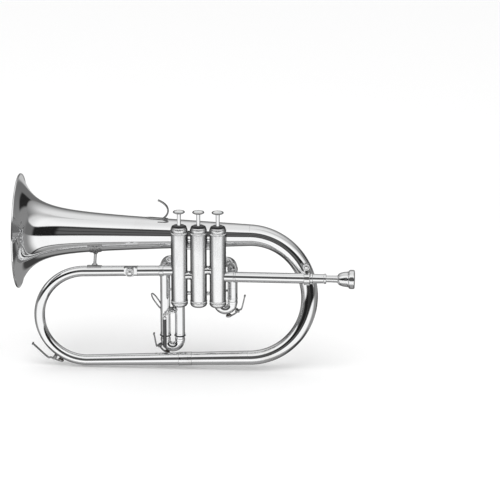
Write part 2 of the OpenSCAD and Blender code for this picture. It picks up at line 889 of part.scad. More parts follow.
// Screw along Y whose head stands in front of the point p
module thumbscrew(p, head_r, head_h, r, length) {
  notches = 18;
  color(silver) {
    difference() {
      rod(p, p - [0, head_h, 0], head_r, head_r);
      for (k = [0:notches - 1])
        let (a = 360 * k / notches, q = p + (head_r + 0.3) * [cos(a), 0, sin(a)])
          rod(q + [0, 1, 0], q - [0, head_h + 1, 0], 0.55, 0.55);
      rod(p - [0, head_h - 0.5, 0], p - [0, head_h + 1, 0], head_r - 1.6, head_r - 1.1);
    }
    rod(p, p + [0, length, 0], r, r);
  }
}

// ---- braces, hook and lyre box ----

// Post with a round foot at each end, from a to b
module post(a, b, thin, foot) {
  d = b - a;
  len = norm(d);
  flat = norm([d[0], d[1]]);
  translate(a)
    rotate([0, atan2(flat, d[2]), atan2(d[1], d[0])])
      rotate_extrude()
        polygon([
          [0, 0], [foot, 0], [foot, 2.6],
          for (t = [0.14:0.09:0.86])
            [thin + (foot - thin) * pow(abs(2 * t - 1), 4), len * t],
          [foot, len - 2.6], [foot, len], [0, len]
        ]);
}

// Stay between the exit tube and the bell, with a thin plate at each end
module bell_brace() {
  x = -119.6;
  d = x - bell_start_x;
  half = 9.5;
  plate = 1.2;
  a = [x, valve_y, exit_front_z + 0.3];
  b = [x, 0, bell_z];
  u = (b - a) / norm(b - a);
  color(silver) {
    post(a + (front_tube_r + 0.05) * u, b - (bell_r(d) + 0.5) * u, 1.9, 3.6);
    intersection() {
      difference() {
        rod_x(x - half, x + half, front_tube_r + 1, valve_y, a[2]);
        rod_x(x - 2 * half, x + 2 * half, front_tube_r, valve_y, a[2]);
      }
      translate([x - 2 * half, valve_y - 4.6, a[2]])
        cube([4 * half, 9.2, 20]);
    }
    intersection() {
      translate([bell_start_x, 0, bell_z])
        rotate([0, 90, 0])
          rotate_extrude()
            polygon([[bell_r(d - half), d - half], [bell_r(d + half), d + half],
                     [bell_r(d + half) + plate, d + half], [bell_r(d - half) + plate, d - half]]);
      rod(a + 20 * u, b, 8, 8);
    }
  }
}

// Short stay between the leadpipe and the back bow
module bow_brace() {
  low = 0.59;
  high = 0.67;
  color(silver)
    difference() {
      post([151, valve_y, lead_z], [151, -10, lead_z], 2.6, 4.2);
      rod_x(140, 165, lead_r, valve_y, lead_z);
      rod(bow_centre(low), bow_centre(high), bow_tube_r(low), bow_tube_r(high));
    }
}

// Points of the hook's middle line: a foot along the bell, then a curl up and forward
function hook_line() =
  let (p = [[-33, 196.5], [-24, 201], [-19.5, 213], [-29, 219], [-38, 222.6]])
  [for (i = [0:20])
     let (t = i / 20, u = 1 - t)
       pow(u, 4) * p[0] + 4 * pow(u, 3) * t * p[1] + 6 * u * u * t * t * p[2]
         + 4 * u * pow(t, 3) * p[3] + pow(t, 4) * p[4]];

// Hook for the right little finger
module finger_hook() {
  line = hook_line();
  last = len(line) - 1;
  side = [for (i = [0:last])
            let (d = line[min(i + 1, last)] - line[max(i - 1, 0)], half = 1.3 - 0.25 * i / last)
              half * [-d[1], d[0]] / norm(d)];
  foot_d = [-55.6 - bell_start_x, -25 - bell_start_x];
  color(silver) {
    difference() {
      translate([0, 4.2, 0])
        rotate([90, 0, 0])
          linear_extrude(height = 8.4)
            polygon(concat([for (i = [0:last]) line[i] + side[i]],
                           reversed([for (i = [0:last]) line[i] - side[i]])));
      bell_shell(-8, 0.6, foot_d[0], foot_d[1]);
    }
    intersection() {
      bell_shell(0, 1.5, foot_d[0], foot_d[1]);
      translate([-60, -5, bell_z])
        cube([40, 10, 40]);
    }
  }
}

lyre_x = -71;
lyre_y = -43;
lyre_r = 2.75;
lyre_z = [131.4, 143.4];
lyre_screw_z = 137.4;

// Socket for a music lyre, on the near side of the exit tube
module lyre_box() {
  color(silver)
    difference() {
      union() {
        translate([lyre_x, lyre_y, lyre_z[0]])
          cylinder(h = lyre_z[1] - lyre_z[0], r = 4.8);
        translate([lyre_x - 8.5, valve_y - 9, lyre_z[0] + 1])
          cube([17, 6, lyre_z[1] - lyre_z[0] - 2]);
      }
      translate([lyre_x, lyre_y, lyre_z[0] - 1])
        cylinder(h = 20, r = lyre_r);
      rod([front_bow_x, valve_y, exit_front_z], [valve_x[2], valve_y, port_z[3]],
          front_tube_r, exit_r);
      rod([lyre_x, lyre_y - 10, lyre_screw_z], [lyre_x, lyre_y, lyre_screw_z], 1.5 + gap, 1.5 + gap);
    }
}

module lyre_screw() {
  thumbscrew([lyre_x, lyre_y - 5.1, lyre_screw_z], 6, 3, 1.5, 2);
}

bell();
bell_rim_wire();
back_bow();
lower_tube();
front_bow();
exit_tube();
ferrules();
casing(0);  // casing_1
casing(1);  // casing_2
casing(2);  // casing_3
top_caps();
bottom_caps();
cap_felts();
valve_knuckles();
casing_braces();
piston(0);  // piston_1
piston(1);  // piston_2
piston(2);  // piston_3
stem(0);  // stem_1
stem(1);  // stem_2
stem(2);  // stem_3
button(0);  // button_1
button(1);  // button_2
button(2);  // button_3
valve_spring(0);  // valve_spring_1
valve_spring(1);  // valve_spring_2
valve_spring(2);  // valve_spring_3
slide_1_sleeves();
slide_2_sleeves();
slide_3_sleeves();
slide_1();
slide_2();
slide_3();
slide_3_bumpers();
trigger_bracket();
trigger_lever();
push_rod();
key_saddle(main_key);  // main_key_saddle
key_pin(main_key);  // main_key_pin
key_lever(main_key);  // main_key_lever
key_cork(main_key);  // main_key_cork
key_saddle(key_1);  // key_1_saddle
key_pin(key_1);  // key_1_pin
key_lever(key_1);  // key_1_lever
key_cork(key_1);  // key_1_cork
key_saddle(key_3);  // key_3_saddle
key_pin(key_3);  // key_3_pin
key_lever(key_3);  // key_3_lever
key_cork(key_3);  // key_3_cork
leadpipe_sleeve();
tuning_pipe();
receiver();
mouthpiece();
tuning_clamp();
clamp_screw();
bell_brace();
bow_brace();
finger_hook();
lyre_box();
lyre_screw();
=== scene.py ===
"""Silver-plated flugelhorn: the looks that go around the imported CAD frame.

Lengths are in millimetres until a mesh is made, and the axes are the frame's own:
+X to the mouthpiece, +Y to the player's right, +Z up.
"""

import math

import bpy
import numpy as np
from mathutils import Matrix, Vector


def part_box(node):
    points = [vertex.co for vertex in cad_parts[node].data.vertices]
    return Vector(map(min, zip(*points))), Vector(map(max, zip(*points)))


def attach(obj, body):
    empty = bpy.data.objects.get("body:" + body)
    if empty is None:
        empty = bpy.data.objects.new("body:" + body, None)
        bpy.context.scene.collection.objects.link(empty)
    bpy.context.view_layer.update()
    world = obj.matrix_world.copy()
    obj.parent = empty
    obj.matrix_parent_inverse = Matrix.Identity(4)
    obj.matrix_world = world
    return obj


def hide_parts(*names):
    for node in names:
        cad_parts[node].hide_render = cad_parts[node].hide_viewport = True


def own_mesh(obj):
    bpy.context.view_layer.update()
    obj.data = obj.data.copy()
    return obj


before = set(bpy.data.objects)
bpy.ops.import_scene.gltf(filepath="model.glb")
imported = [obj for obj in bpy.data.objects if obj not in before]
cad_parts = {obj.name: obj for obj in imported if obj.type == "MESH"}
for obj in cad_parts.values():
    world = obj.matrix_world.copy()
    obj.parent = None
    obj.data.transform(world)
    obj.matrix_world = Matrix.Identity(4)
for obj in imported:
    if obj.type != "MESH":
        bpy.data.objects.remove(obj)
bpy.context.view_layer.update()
MM = 0.001
X, Y, Z = np.eye(3)

# ---- places and sizes read from the frame ----


def corners(node):
    """Lowest and highest corner of a CAD node's box, in millimetres."""
    low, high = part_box(node)
    return np.array(low) / MM, np.array(high) / MM


def middle(node):
    """Centre of a CAD node's box."""
    low, high = corners(node)
    return (low + high) / 2


def half_width(node, axis):
    """Half of a CAD node's width along axis 0, 1 or 2."""
    low, high = corners(node)
    return (high[axis] - low[axis]) / 2


SHEET = 0.6  # wall of the bell, the bows and the main tubes
VALVES = [f"casing_{i}" for i in (1, 2, 3)]
VALVE_X = [middle(name)[0] for name in VALVES]
VALVE_Y = middle("casing_1")[1]
CASING_R = half_width("casing_1", 1)
CASING_LOW, CASING_HIGH = corners("casing_1")[0][2], corners("casing_1")[1][2]

RIM_WIRE_R = 1.3
RIM_R = half_width("bell_rim_wire", 1)
BELL_FRONT = corners("bell_rim_wire")[0][0]
BELL_Z = middle("bell_rim_wire")[2]
BELL_START = BELL_FRONT + RIM_WIRE_R + 0.1
BELL_EDGE_R = RIM_R - RIM_WIRE_R + 0.4
BELL_LENGTH = corners("bell")[1][0] - BELL_START
BELL_THROAT_R = 28.7
BELL_TAPER = 0.0476
BELL_FLARE = 53

BACK_BOW_X = corners("back_bow")[0][0]
BACK_BOW_R = 80
BACK_BOW_Z = BELL_Z - BACK_BOW_R
LOWER_END_R = 9.3

FRONT_TUBE_R = half_width("front_bow", 1)
FRONT_BOW_X = corners("front_bow")[1][0]
FRONT_BOW_Z = middle("front_bow")[2]
FRONT_BOW_R = half_width("front_bow", 2) - FRONT_TUBE_R
EXIT_R = 6.5
EXIT_PORT_Z = 136.3

LEAD_Z = middle("leadpipe_sleeve")[2]
LEAD_R = half_width("leadpipe_sleeve", 1)
TUNING_R = half_width("tuning_pipe", 1)

THREAD_R = 10.2
CROWN_R, CROWN_EDGE, CROWN_LOW = 7.6, 3, 194.2  # rounded shoulder of a top cap
FLOOR_Z = 89.5  # inner floor of a bottom cap
COLLAR_R = 5.2  # collars on a valve stem
THREAD_LOW = corners("bottom_caps")[1][2]
THREAD_HIGH = corners("top_caps")[0][2]
CAP_R = half_width("top_caps", 1)
CAP_TOP = corners("top_caps")[1][2]
PISTON_R = half_width("piston_1", 1)
PISTON_HIGH = corners("piston_1")[1][2]
STEM_R = 2.6
FELT_R = half_width("cap_felts", 1)

LEG_HALF = 9.6
LEG_R = 6
SLEEVE_R = 6.55
CROOK_R = 6.3
LEG_WALL, CROOK_WALL = 0.5, 0.8
SLEEVE_WALL = SLEEVE_R - LEG_R - 0.06
NEAR_PORT_Z = 118
FAR_BEND_R, NEAR_BEND_R = 12, 7
TIE_Z, TIE_R, TIE_INSET = 104, 1.6, 6.3  # bar between the two sleeves of a slide
SLIDE_Y = middle("slide_1")[1]
ROD_R = 2.45
HOOK_POINTS = [(-33, 196.5), (-24, 201), (-19.5, 213), (-29, 219), (-38, 222.6)]


# ---- mesh making ----


def grid(rings, close_rings=False):
    """Vertices and quads of a tube-like grid: each ring is closed, and the last can meet the first."""
    rings = np.asarray(rings, float)
    rows, sides = rings.shape[:2]
    spans = rows if close_rings else rows - 1
    faces = []
    for i in range(spans):
        near = i * sides
        far = (i + 1) % rows * sides
        for k in range(sides):
            n = (k + 1) % sides
            faces.append((near + k, far + k, far + n, near + n))
    return rings.reshape(-1, 3), faces


def joined(*shapes):
    """One vertex and face list from several."""
    verts, faces, base = [], [], 0
    for shape_verts, shape_faces in shapes:
        verts.append(np.asarray(shape_verts, float))
        faces += [tuple(v + base for v in face) for face in shape_faces]
        base += len(shape_verts)
    return np.vstack(verts), faces


def basis(axis):
    """Two unit vectors at right angles to the axis."""
    axis = np.asarray(axis, float) / np.linalg.norm(axis)
    start = Z if abs(axis[2]) < 0.9 else X
    u = np.cross(start, axis)
    u /= np.linalg.norm(u)
    return axis, u, np.cross(axis, u)


def lathe(profile, origin, axis=X, sides=96, closed=True, teeth=None):
    """Turned shape. The profile lists (radius, distance along the axis).
    teeth = (from, to, count, depth) cuts a fine coin edge between two distances."""
    axis, u, v = basis(axis)
    angles = np.linspace(0, 2 * math.pi, sides, endpoint=False)
    around = np.outer(np.cos(angles), u) + np.outer(np.sin(angles), v)
    rings = []
    for r, d in profile:
        radii = np.full(sides, float(r))
        if teeth and teeth[0] <= d <= teeth[1]:
            radii -= teeth[3] * (0.5 - 0.5 * np.cos(angles * teeth[2]))
        rings.append(np.asarray(origin) + radii[:, None] * around + d * axis)
    return grid(rings, closed)


def eased(profile, cut, closed=True, steps=3):
    """The outline with each sharp corner rounded over a short distance."""
    points = [np.array(p, float) for p in profile]
    count = len(points)
    out = []
    for i, p in enumerate(points):
        if not closed and i in (0, count - 1):
            out.append(p)
            continue
        before, after = points[i - 1] - p, points[(i + 1) % count] - p
        a, b = np.linalg.norm(before), np.linalg.norm(after)
        if a < 1e-6 or b < 1e-6 or np.dot(before, after) / (a * b) < -0.97:
            out.append(p)
            continue
        q0, q2 = p + before / a * min(cut, 0.4 * a), p + after / b * min(cut, 0.4 * b)
        for t in np.linspace(0, 1, steps + 1):
            out.append((1 - t) ** 2 * q0 + 2 * t * (1 - t) * p + t * t * q2)
    return out


def line(a, b, count=2):
    """Evenly spaced points from a to b."""
    return [np.asarray(a) + (np.asarray(b) - np.asarray(a)) * t for t in np.linspace(0, 1, count)]


def arc(centre, r, u, v, start, end, count):
    """Points of an arc in the plane of u and v, from one angle to another in degrees."""
    angles = np.radians(np.linspace(start, end, count))
    return [np.asarray(centre) + r * (math.cos(a) * u + math.sin(a) * v) for a in angles]


def sweep(path, radii, normal, sides=64, wall=0, flat=1):
    """Round tube along a path. normal is a direction that stays across the path, and flat
    squeezes the section along it. A wall makes the tube hollow."""
    path = np.asarray(path, float)
    radii = np.broadcast_to(radii, len(path))
    flats = np.broadcast_to(flat, len(path))
    ahead = np.gradient(path, axis=0)
    angles = np.linspace(0, 2 * math.pi, sides, endpoint=False)
    outer, inner = [], []
    for p, r, t, f in zip(path, radii, ahead, flats):
        t = t / np.linalg.norm(t)
        n = normal - np.dot(normal, t) * t
        n /= np.linalg.norm(n)
        m = np.cross(t, n)
        spokes = np.outer(np.cos(angles), m) + f * np.outer(np.sin(angles), n)
        outer.append(p + r * spokes)
        inner.append(p + (r - wall) * spokes)
    if wall:
        return grid(outer + inner[::-1], True)
    cap = [tuple(range(sides)), tuple((len(path) - 1) * sides + k for k in reversed(range(sides)))]
    verts, faces = grid(outer)
    return verts, faces + cap


def fitted(shape, valve, start, direction, reach=CASING_R - 0.4):
    """The shape with the vertices that lie past the surface of a casing drawn back onto it."""
    verts, faces = shape
    verts = verts.copy()
    centre = np.array([VALVE_X[valve], VALVE_Y])
    direction = np.asarray(direction, float) / np.linalg.norm(direction)
    flat = direction[:2] / np.linalg.norm(direction[:2])
    for i, p in enumerate(verts):
        offset = p[:2] - centre
        across = offset - np.dot(offset, flat) * flat
        room = reach**2 - np.dot(across, across)
        limit = -math.sqrt(max(room, 0))
        ahead = np.dot(offset, flat)
        if ahead > limit and np.dot(p - start, direction) > 0:
            verts[i] = p - direction * (ahead - limit) / np.linalg.norm(direction[:2])
    return verts, faces


def add(name, shape, material, body, *nodes, slot="silver_plate", sharp=38):
    """A finished piece that rides on a body and stands for CAD nodes."""
    verts, faces = shape
    mesh = bpy.data.meshes.new(name)
    mesh.from_pydata((verts * MM).tolist(), [], faces)
    mesh.validate()
    mesh.materials.append(material)
    mesh.shade_smooth()
    mesh.set_sharp_from_angle(angle=math.radians(sharp))
    piece = bpy.data.objects.new(name, mesh)
    bpy.context.scene.collection.objects.link(piece)
    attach(piece, body)
    if nodes:
        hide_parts(*nodes)
    return piece


def polish(node, material, bevel=0.12, sharp=32):
    """Smooth shading, softened edges and a finish for a CAD node that stays."""
    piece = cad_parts[node]
    mesh = piece.data
    if "custom_normal" in mesh.attributes:
        mesh.attributes.remove(mesh.attributes["custom_normal"])
    mesh.materials.clear()
    mesh.materials.append(material)
    weld = piece.modifiers.new("weld", "WELD")
    weld.merge_threshold = 2e-6
    if bevel:
        edge = piece.modifiers.new("edges", "BEVEL")
        edge.width = bevel * MM
        edge.segments = 2
        edge.limit_method = "ANGLE"
        edge.angle_limit = math.radians(sharp)
        edge.use_clamp_overlap = True
        edge.harden_normals = False
    mesh.shade_smooth()
    smooth_by_angle(piece, sharp)
    return piece


def smooth_group():
    """Node group that marks edges sharp by angle after the other modifiers."""
    group = bpy.data.node_groups.new("smooth_by_angle", "GeometryNodeTree")
    group.interface.new_socket("Geometry", in_out="INPUT", socket_type="NodeSocketGeometry")
    group.interface.new_socket("Geometry", in_out="OUTPUT", socket_type="NodeSocketGeometry")
    angle_in = group.interface.new_socket("Angle", in_out="INPUT", socket_type="NodeSocketFloat")
    angle_in.default_value = math.radians(32)
    source = group.nodes.new("NodeGroupInput")
    target = group.nodes.new("NodeGroupOutput")
    angle = group.nodes.new("GeometryNodeInputMeshEdgeAngle")
    compare = group.nodes.new("FunctionNodeCompare")
    compare.data_type = "FLOAT"
    compare.operation = "LESS_EQUAL"
    faces = group.nodes.new("GeometryNodeSetShadeSmooth")
    faces.domain = "FACE"
    edges = group.nodes.new("GeometryNodeSetShadeSmooth")
    edges.domain = "EDGE"
    link = group.links.new
    link(source.outputs["Geometry"], faces.inputs["Geometry"])
    link(faces.outputs[0], edges.inputs["Geometry"])
    link(angle.outputs["Unsigned Angle"], compare.inputs[0])
    link(source.outputs["Angle"], compare.inputs[1])
    link(compare.outputs[0], edges.inputs["Shade Smooth"])
    link(edges.outputs[0], target.inputs["Geometry"])
    return group


SMOOTH = smooth_group()


def smooth_by_angle(piece, sharp):
    """Adds the smoothing group to a piece. Edges over sharp degrees stay hard."""
    modifier = piece.modifiers.new("smooth", "NODES")
    modifier.node_group = SMOOTH
    modifier[SMOOTH.interface.items_tree["Angle"].identifier] = math.radians(sharp)


# ---- materials ----


class Nodes:
    """Short forms for building a node tree."""

    def __init__(self, tree):
        self.tree = tree

    def new(self, kind, **values):
        node = self.tree.nodes.new(kind)
        for key, value in values.items():
            setattr(node, key, value)
        return node

    def put(self, socket, value):
        if isinstance(value, bpy.types.NodeSocket):
            self.tree.links.new(value, socket)
        else:
            socket.default_value = value

    def noise(self, scale, detail=3, rough=0.5, vector=None, stretch=None):
        if stretch is not None:
            mapping = self.new("ShaderNodeMapping")
            self.put(mapping.inputs["Vector"], vector)
            mapping.inputs["Scale"].default_value = stretch
            vector = mapping.outputs[0]
        node = self.new("ShaderNodeTexNoise")
        self.put(node.inputs["Vector"], vector)
        node.inputs["Scale"].default_value = scale
        node.inputs["Detail"].default_value = detail
        node.inputs["Roughness"].default_value = rough
        return node.outputs["Fac"]

    def ramp(self, value, low, high, out_low=0.0, out_high=1.0):
        node = self.new("ShaderNodeMapRange", interpolation_type="SMOOTHSTEP")
        self.put(node.inputs["Value"], value)
        self.put(node.inputs["From Min"], low)
        self.put(node.inputs["From Max"], high)
        self.put(node.inputs["To Min"], out_low)
        self.put(node.inputs["To Max"], out_high)
        return node.outputs[0]

    def math(self, operation, a, b=0.0):
        node = self.new("ShaderNodeMath", operation=operation)
        self.put(node.inputs[0], a)
        self.put(node.inputs[1], b)
        return node.outputs[0]

    def mix(self, factor, a, b):
        node = self.new("ShaderNodeMix", data_type="RGBA")
        self.put(node.inputs["Factor"], factor)
        self.put(node.inputs["A"], a)
        self.put(node.inputs["B"], b)
        return node.outputs["Result"]

    def bump(self, height, strength, distance):
        node = self.new("ShaderNodeBump")
        self.put(node.inputs["Height"], height)
        node.inputs["Strength"].default_value = strength
        node.inputs["Distance"].default_value = distance * MM
        return node.outputs["Normal"]


def new_material(name):
    """A material with its node helper, its shader and the object's own coordinates."""
    material = bpy.data.materials.new(name)
    material.use_nodes = True
    nodes = Nodes(material.node_tree)
    shader = material.node_tree.nodes["Principled BSDF"]
    place = nodes.new("ShaderNodeTexCoord").outputs["Object"]
    return material, nodes, shader, place


def grey(value, tint=0.0):
    """Grey colour: tint above 0 is cooler and below 0 warmer."""
    return (value, value * (1 + 0.4 * tint), value * (1 + tint), 1)


def metal(name, colour, stain, rough, brush=None, scratch=0.02):
    """Plated metal: a bright coat with handling haze, thin wipe marks and dull stained patches.
    brush stretches the wipe marks along a direction, for turned or satin faces."""
    material, n, shader, place = new_material(name)
    haze = n.noise(38, 4, 0.55, place)
    stains = n.noise(11, 6, 0.62, place)
    wipes = n.noise(260, 2, 0.5, place, brush or (1, 0.25, 4))
    stained = n.ramp(stains, 0.56, 0.78)
    n.put(shader.inputs["Base Color"], n.mix(stained, colour, stain))
    shader.inputs["Metallic"].default_value = 1
    worn = n.ramp(haze, 0.3, 0.75, rough * 0.75, rough * 1.35)
    wiped = n.ramp(wipes, 0.35, 0.8, 0, rough * 0.5)
    n.put(shader.inputs["Roughness"], n.math("ADD", n.math("ADD", worn, wiped), n.math(
        "MULTIPLY", stained, 0.04)))
    n.put(shader.inputs["Normal"], n.bump(wipes, scratch, 0.05))
    return material


def satin(name):
    """Fine brushed plate, soft and bright where it faces the eye, with painted shade that darkens its colour
    towards its edges.
    """
    material = metal(name, grey(0.95, 0.01), grey(0.86, -0.02), 0.20, brush=(7, 7, 0.15), scratch=0.012)
    n = Nodes(material.node_tree)
    shader = material.node_tree.nodes["Principled BSDF"]
    shader.inputs["Metallic"].default_value = 0.85
    # painted shade: the plate's colour is blended towards dark grey as the surface turns away from the eye
    turn = n.new("ShaderNodeLayerWeight").outputs["Facing"]
    plate = shader.inputs["Base Color"].links[0].from_socket
    n.put(shader.inputs["Base Color"], n.mix(n.ramp(turn, 0.08, 0.56), plate, grey(0.12)))
    return material


SILVER = metal("silver_mirror", grey(0.93, 0.008), grey(0.80, -0.03), 0.045)
SILVER_TRIM = metal("silver_trim", grey(0.90, 0.008), grey(0.70, -0.05), 0.10, scratch=0.05)
SATIN_PAINTED_EDGE_SHADE = satin("satin_silver")
BELL_INSIDE = metal("bell_inside", grey(0.84, 0.01), grey(0.70, -0.03), 0.20, scratch=0.03)
# painted shade: the next two are darker copies of the silver plate, darkened to stand in for the dark
# reflections on the small thin parts that use them
SILVER_PAINTED_SHADE = metal("keys_silver_painted_shade", grey(0.47, 0.0), grey(0.32, -0.05), 0.16, scratch=0.05)
SILVER_PAINTED_DEEP_SHADE = metal("keys_silver_painted_deep_shade", grey(0.26, 0.0), grey(0.16, -0.05), 0.18, scratch=0.05)
PISTON = metal("piston_metal", grey(0.72, 0.0), grey(0.58, -0.06), 0.20, brush=(8, 8, 0.3), scratch=0.05)
DARK_ROD = metal("dark_steel", grey(0.10, 0.02), grey(0.06, 0.0), 0.22, brush=(6, 6, 0.3), scratch=0.06)
SPRING = metal("spring_steel", grey(0.52, 0.01), grey(0.34, -0.1), 0.24, scratch=0.05)


def felt_material():
    material, n, shader, place = new_material("felt")
    fibres = n.noise(2600, 5, 0.7, place)
    clumps = n.noise(420, 3, 0.6, place)
    n.put(shader.inputs["Base Color"], n.mix(clumps, (0.004, 0.004, 0.005, 1), (0.02, 0.02, 0.022, 1)))
    shader.inputs["Roughness"].default_value = 1.0
    shader.inputs["Specular IOR Level"].default_value = 0.1
    shader.inputs["Sheen Weight"].default_value = 0.25
    shader.inputs["Sheen Roughness"].default_value = 0.6
    n.put(shader.inputs["Normal"], n.bump(fibres, 0.8, 0.25))
    return material


def rubber_material():
    material, n, shader, place = new_material("rubber")
    dust = n.noise(900, 4, 0.6, place)
    n.put(shader.inputs["Base Color"], n.mix(dust, (0.006, 0.006, 0.006, 1), (0.03, 0.03, 0.03, 1)))
    n.put(shader.inputs["Roughness"], n.ramp(dust, 0.3, 0.7, 0.42, 0.68))
    n.put(shader.inputs["Normal"], n.bump(dust, 0.3, 0.08))
    return material


def cork_material():
    material, n, shader, place = new_material("cork")
    cells = n.new("ShaderNodeTexVoronoi")
    n.put(cells.inputs["Vector"], place)
    cells.inputs["Scale"].default_value = 2200
    grain = n.noise(700, 5, 0.7, place)
    tan = n.mix(grain, (0.12, 0.075, 0.045, 1), (0.05, 0.03, 0.018, 1))
    dark = n.ramp(cells.outputs["Distance"], 0.0, 0.35)
    n.put(shader.inputs["Base Color"], n.mix(dark, (0.02, 0.012, 0.008, 1), tan))
    shader.inputs["Roughness"].default_value = 0.85
    n.put(shader.inputs["Normal"], n.bump(cells.outputs["Distance"], 0.5, 0.15))
    return material


def pearl_material():
    material, n, shader, place = new_material("mother_of_pearl")
    waves = n.noise(160, 5, 0.6, place, (1, 2.5, 1))
    cool = n.ramp(waves, 0.42, 0.62)
    n.put(shader.inputs["Base Color"], n.mix(cool, (0.86, 0.84, 0.82, 1), (0.62, 0.68, 0.70, 1)))
    shader.inputs["Roughness"].default_value = 0.16
    shader.inputs["Coat Weight"].default_value = 0.6
    shader.inputs["Coat Roughness"].default_value = 0.05
    n.put(shader.inputs["Normal"], n.bump(waves, 0.15, 0.1))
    return material


FELT = felt_material()
RUBBER = rubber_material()
CORK = cork_material()
PEARL = pearl_material()


# ---- bell ----


def bell_radius(d):
    """Radius of the bell at distance d behind its edge: a flare that runs into a slow taper."""
    return BELL_THROAT_R - BELL_TAPER * d + (BELL_EDGE_R - BELL_THROAT_R) / (1 + d / BELL_FLARE) ** 3


def bell_slope(d):
    """Change of the bell's radius per millimetre at distance d."""
    return -BELL_TAPER - 3 * (BELL_EDGE_R - BELL_THROAT_R) / BELL_FLARE / (1 + d / BELL_FLARE) ** 4


def bell_line(shift, count=96):
    """Outline of the bell, moved outward by shift along its normal."""
    points = []
    for share in np.linspace(0, 1, count) ** 1.7:
        d = BELL_LENGTH * share
        s = bell_slope(d)
        n = math.hypot(1, s)
        points.append((bell_radius(d) + shift / n, d - shift * s / n))
    return points


def make_bell():
    """Bell with a duller inside, and the wire around its rim."""
    profile = bell_line(0) + bell_line(-SHEET)[::-1]
    sides = 224
    bell = add("bell_body", lathe(profile, (BELL_START, 0, BELL_Z), sides=sides), SILVER, "horn", "bell")
    bell.data.materials.append(BELL_INSIDE)
    for face in bell.data.polygons:
        face.material_index = 1 if face.index >= len(profile) // 2 * sides else 0
    circle_x = RIM_WIRE_R - 0.2
    wire = []
    for a in np.radians(np.arange(0, 360, 11.25)):
        behind = max(circle_x + RIM_WIRE_R * math.sin(a), 0)
        wire.append((RIM_R - RIM_WIRE_R + RIM_WIRE_R * math.cos(a), behind))
    add("bell_rim", lathe(wire, (BELL_FRONT, 0, BELL_Z), sides=sides), SILVER, "horn", "bell_rim_wire")


# ---- bows and main tubes ----


def back_bow_centre(t):
    """Centre line of the back bow, which leans across from the lower tube to the bell."""
    across = t * t * (3 - 2 * t)
    return np.array([
        BACK_BOW_X + BACK_BOW_R * math.sin(math.pi * t),
        VALVE_Y * (1 - across),
        BACK_BOW_Z - BACK_BOW_R * math.cos(math.pi * t),
    ])


def back_bow_radius(t):
    """Radius of the back bow, from the lower tube at t = 0 to the bell at t = 1."""
    return LOWER_END_R + 1.8 * t + 3.2 * t * t


def make_bows():
    """Back bow, lower tube, front bow, and the tube from there to the third valve."""
    shares = np.linspace(0, 1, 97)
    path = [back_bow_centre(t) for t in shares]
    radii = [back_bow_radius(t) for t in shares]
    add("back_bow_tube", sweep(path, radii, Y, 96, SHEET), SILVER, "horn", "back_bow")
    lower_back = (BACK_BOW_X, VALVE_Y, BELL_Z - 2 * BACK_BOW_R)
    lower_front = (FRONT_BOW_X, VALVE_Y, FRONT_BOW_Z - FRONT_BOW_R)
    shape = sweep(line(lower_back, lower_front, 9), np.linspace(LOWER_END_R, FRONT_TUBE_R, 9), Y, 96, SHEET)
    add("lower_branch", shape, SILVER, "horn", "lower_tube")
    centre = (FRONT_BOW_X, VALVE_Y, FRONT_BOW_Z)
    path = arc(centre, FRONT_BOW_R, X, Z, 90, 270, 97)
    add("front_bow_tube", sweep(path, FRONT_TUBE_R, Y, 96, SHEET), SILVER, "horn", "front_bow")
    exit_front = (FRONT_BOW_X, VALVE_Y, FRONT_BOW_Z + FRONT_BOW_R)
    exit_back = (VALVE_X[2], VALVE_Y, EXIT_PORT_Z)
    shape = sweep(line(exit_front, exit_back, 3), np.linspace(FRONT_TUBE_R, EXIT_R, 3), Y, wall=SHEET)
    shape = fitted(shape, 2, exit_front, np.asarray(exit_back) - np.asarray(exit_front))
    add("exit_branch", shape, SILVER, "horn", "exit_tube")


# ---- turned parts ----


def turned(name, profile, origin, axis, material, body, *nodes,
           cut=0.25, sides=96, teeth=None, slot="silver_plate"):
    """A lathe-turned piece with its sharp corners eased by cut."""
    shape = lathe(eased(profile, cut), origin, axis, sides, True, teeth)
    return add(name, shape, material, body, *nodes, slot=slot)


def cap_crown(degrees):
    """Points on the rounded shoulder of a top cap, at angles from the side to the top."""
    return [(CROWN_R + CROWN_EDGE * math.cos(a), CROWN_LOW + (CAP_TOP - CROWN_LOW) * math.sin(a))
            for a in np.radians(degrees)]


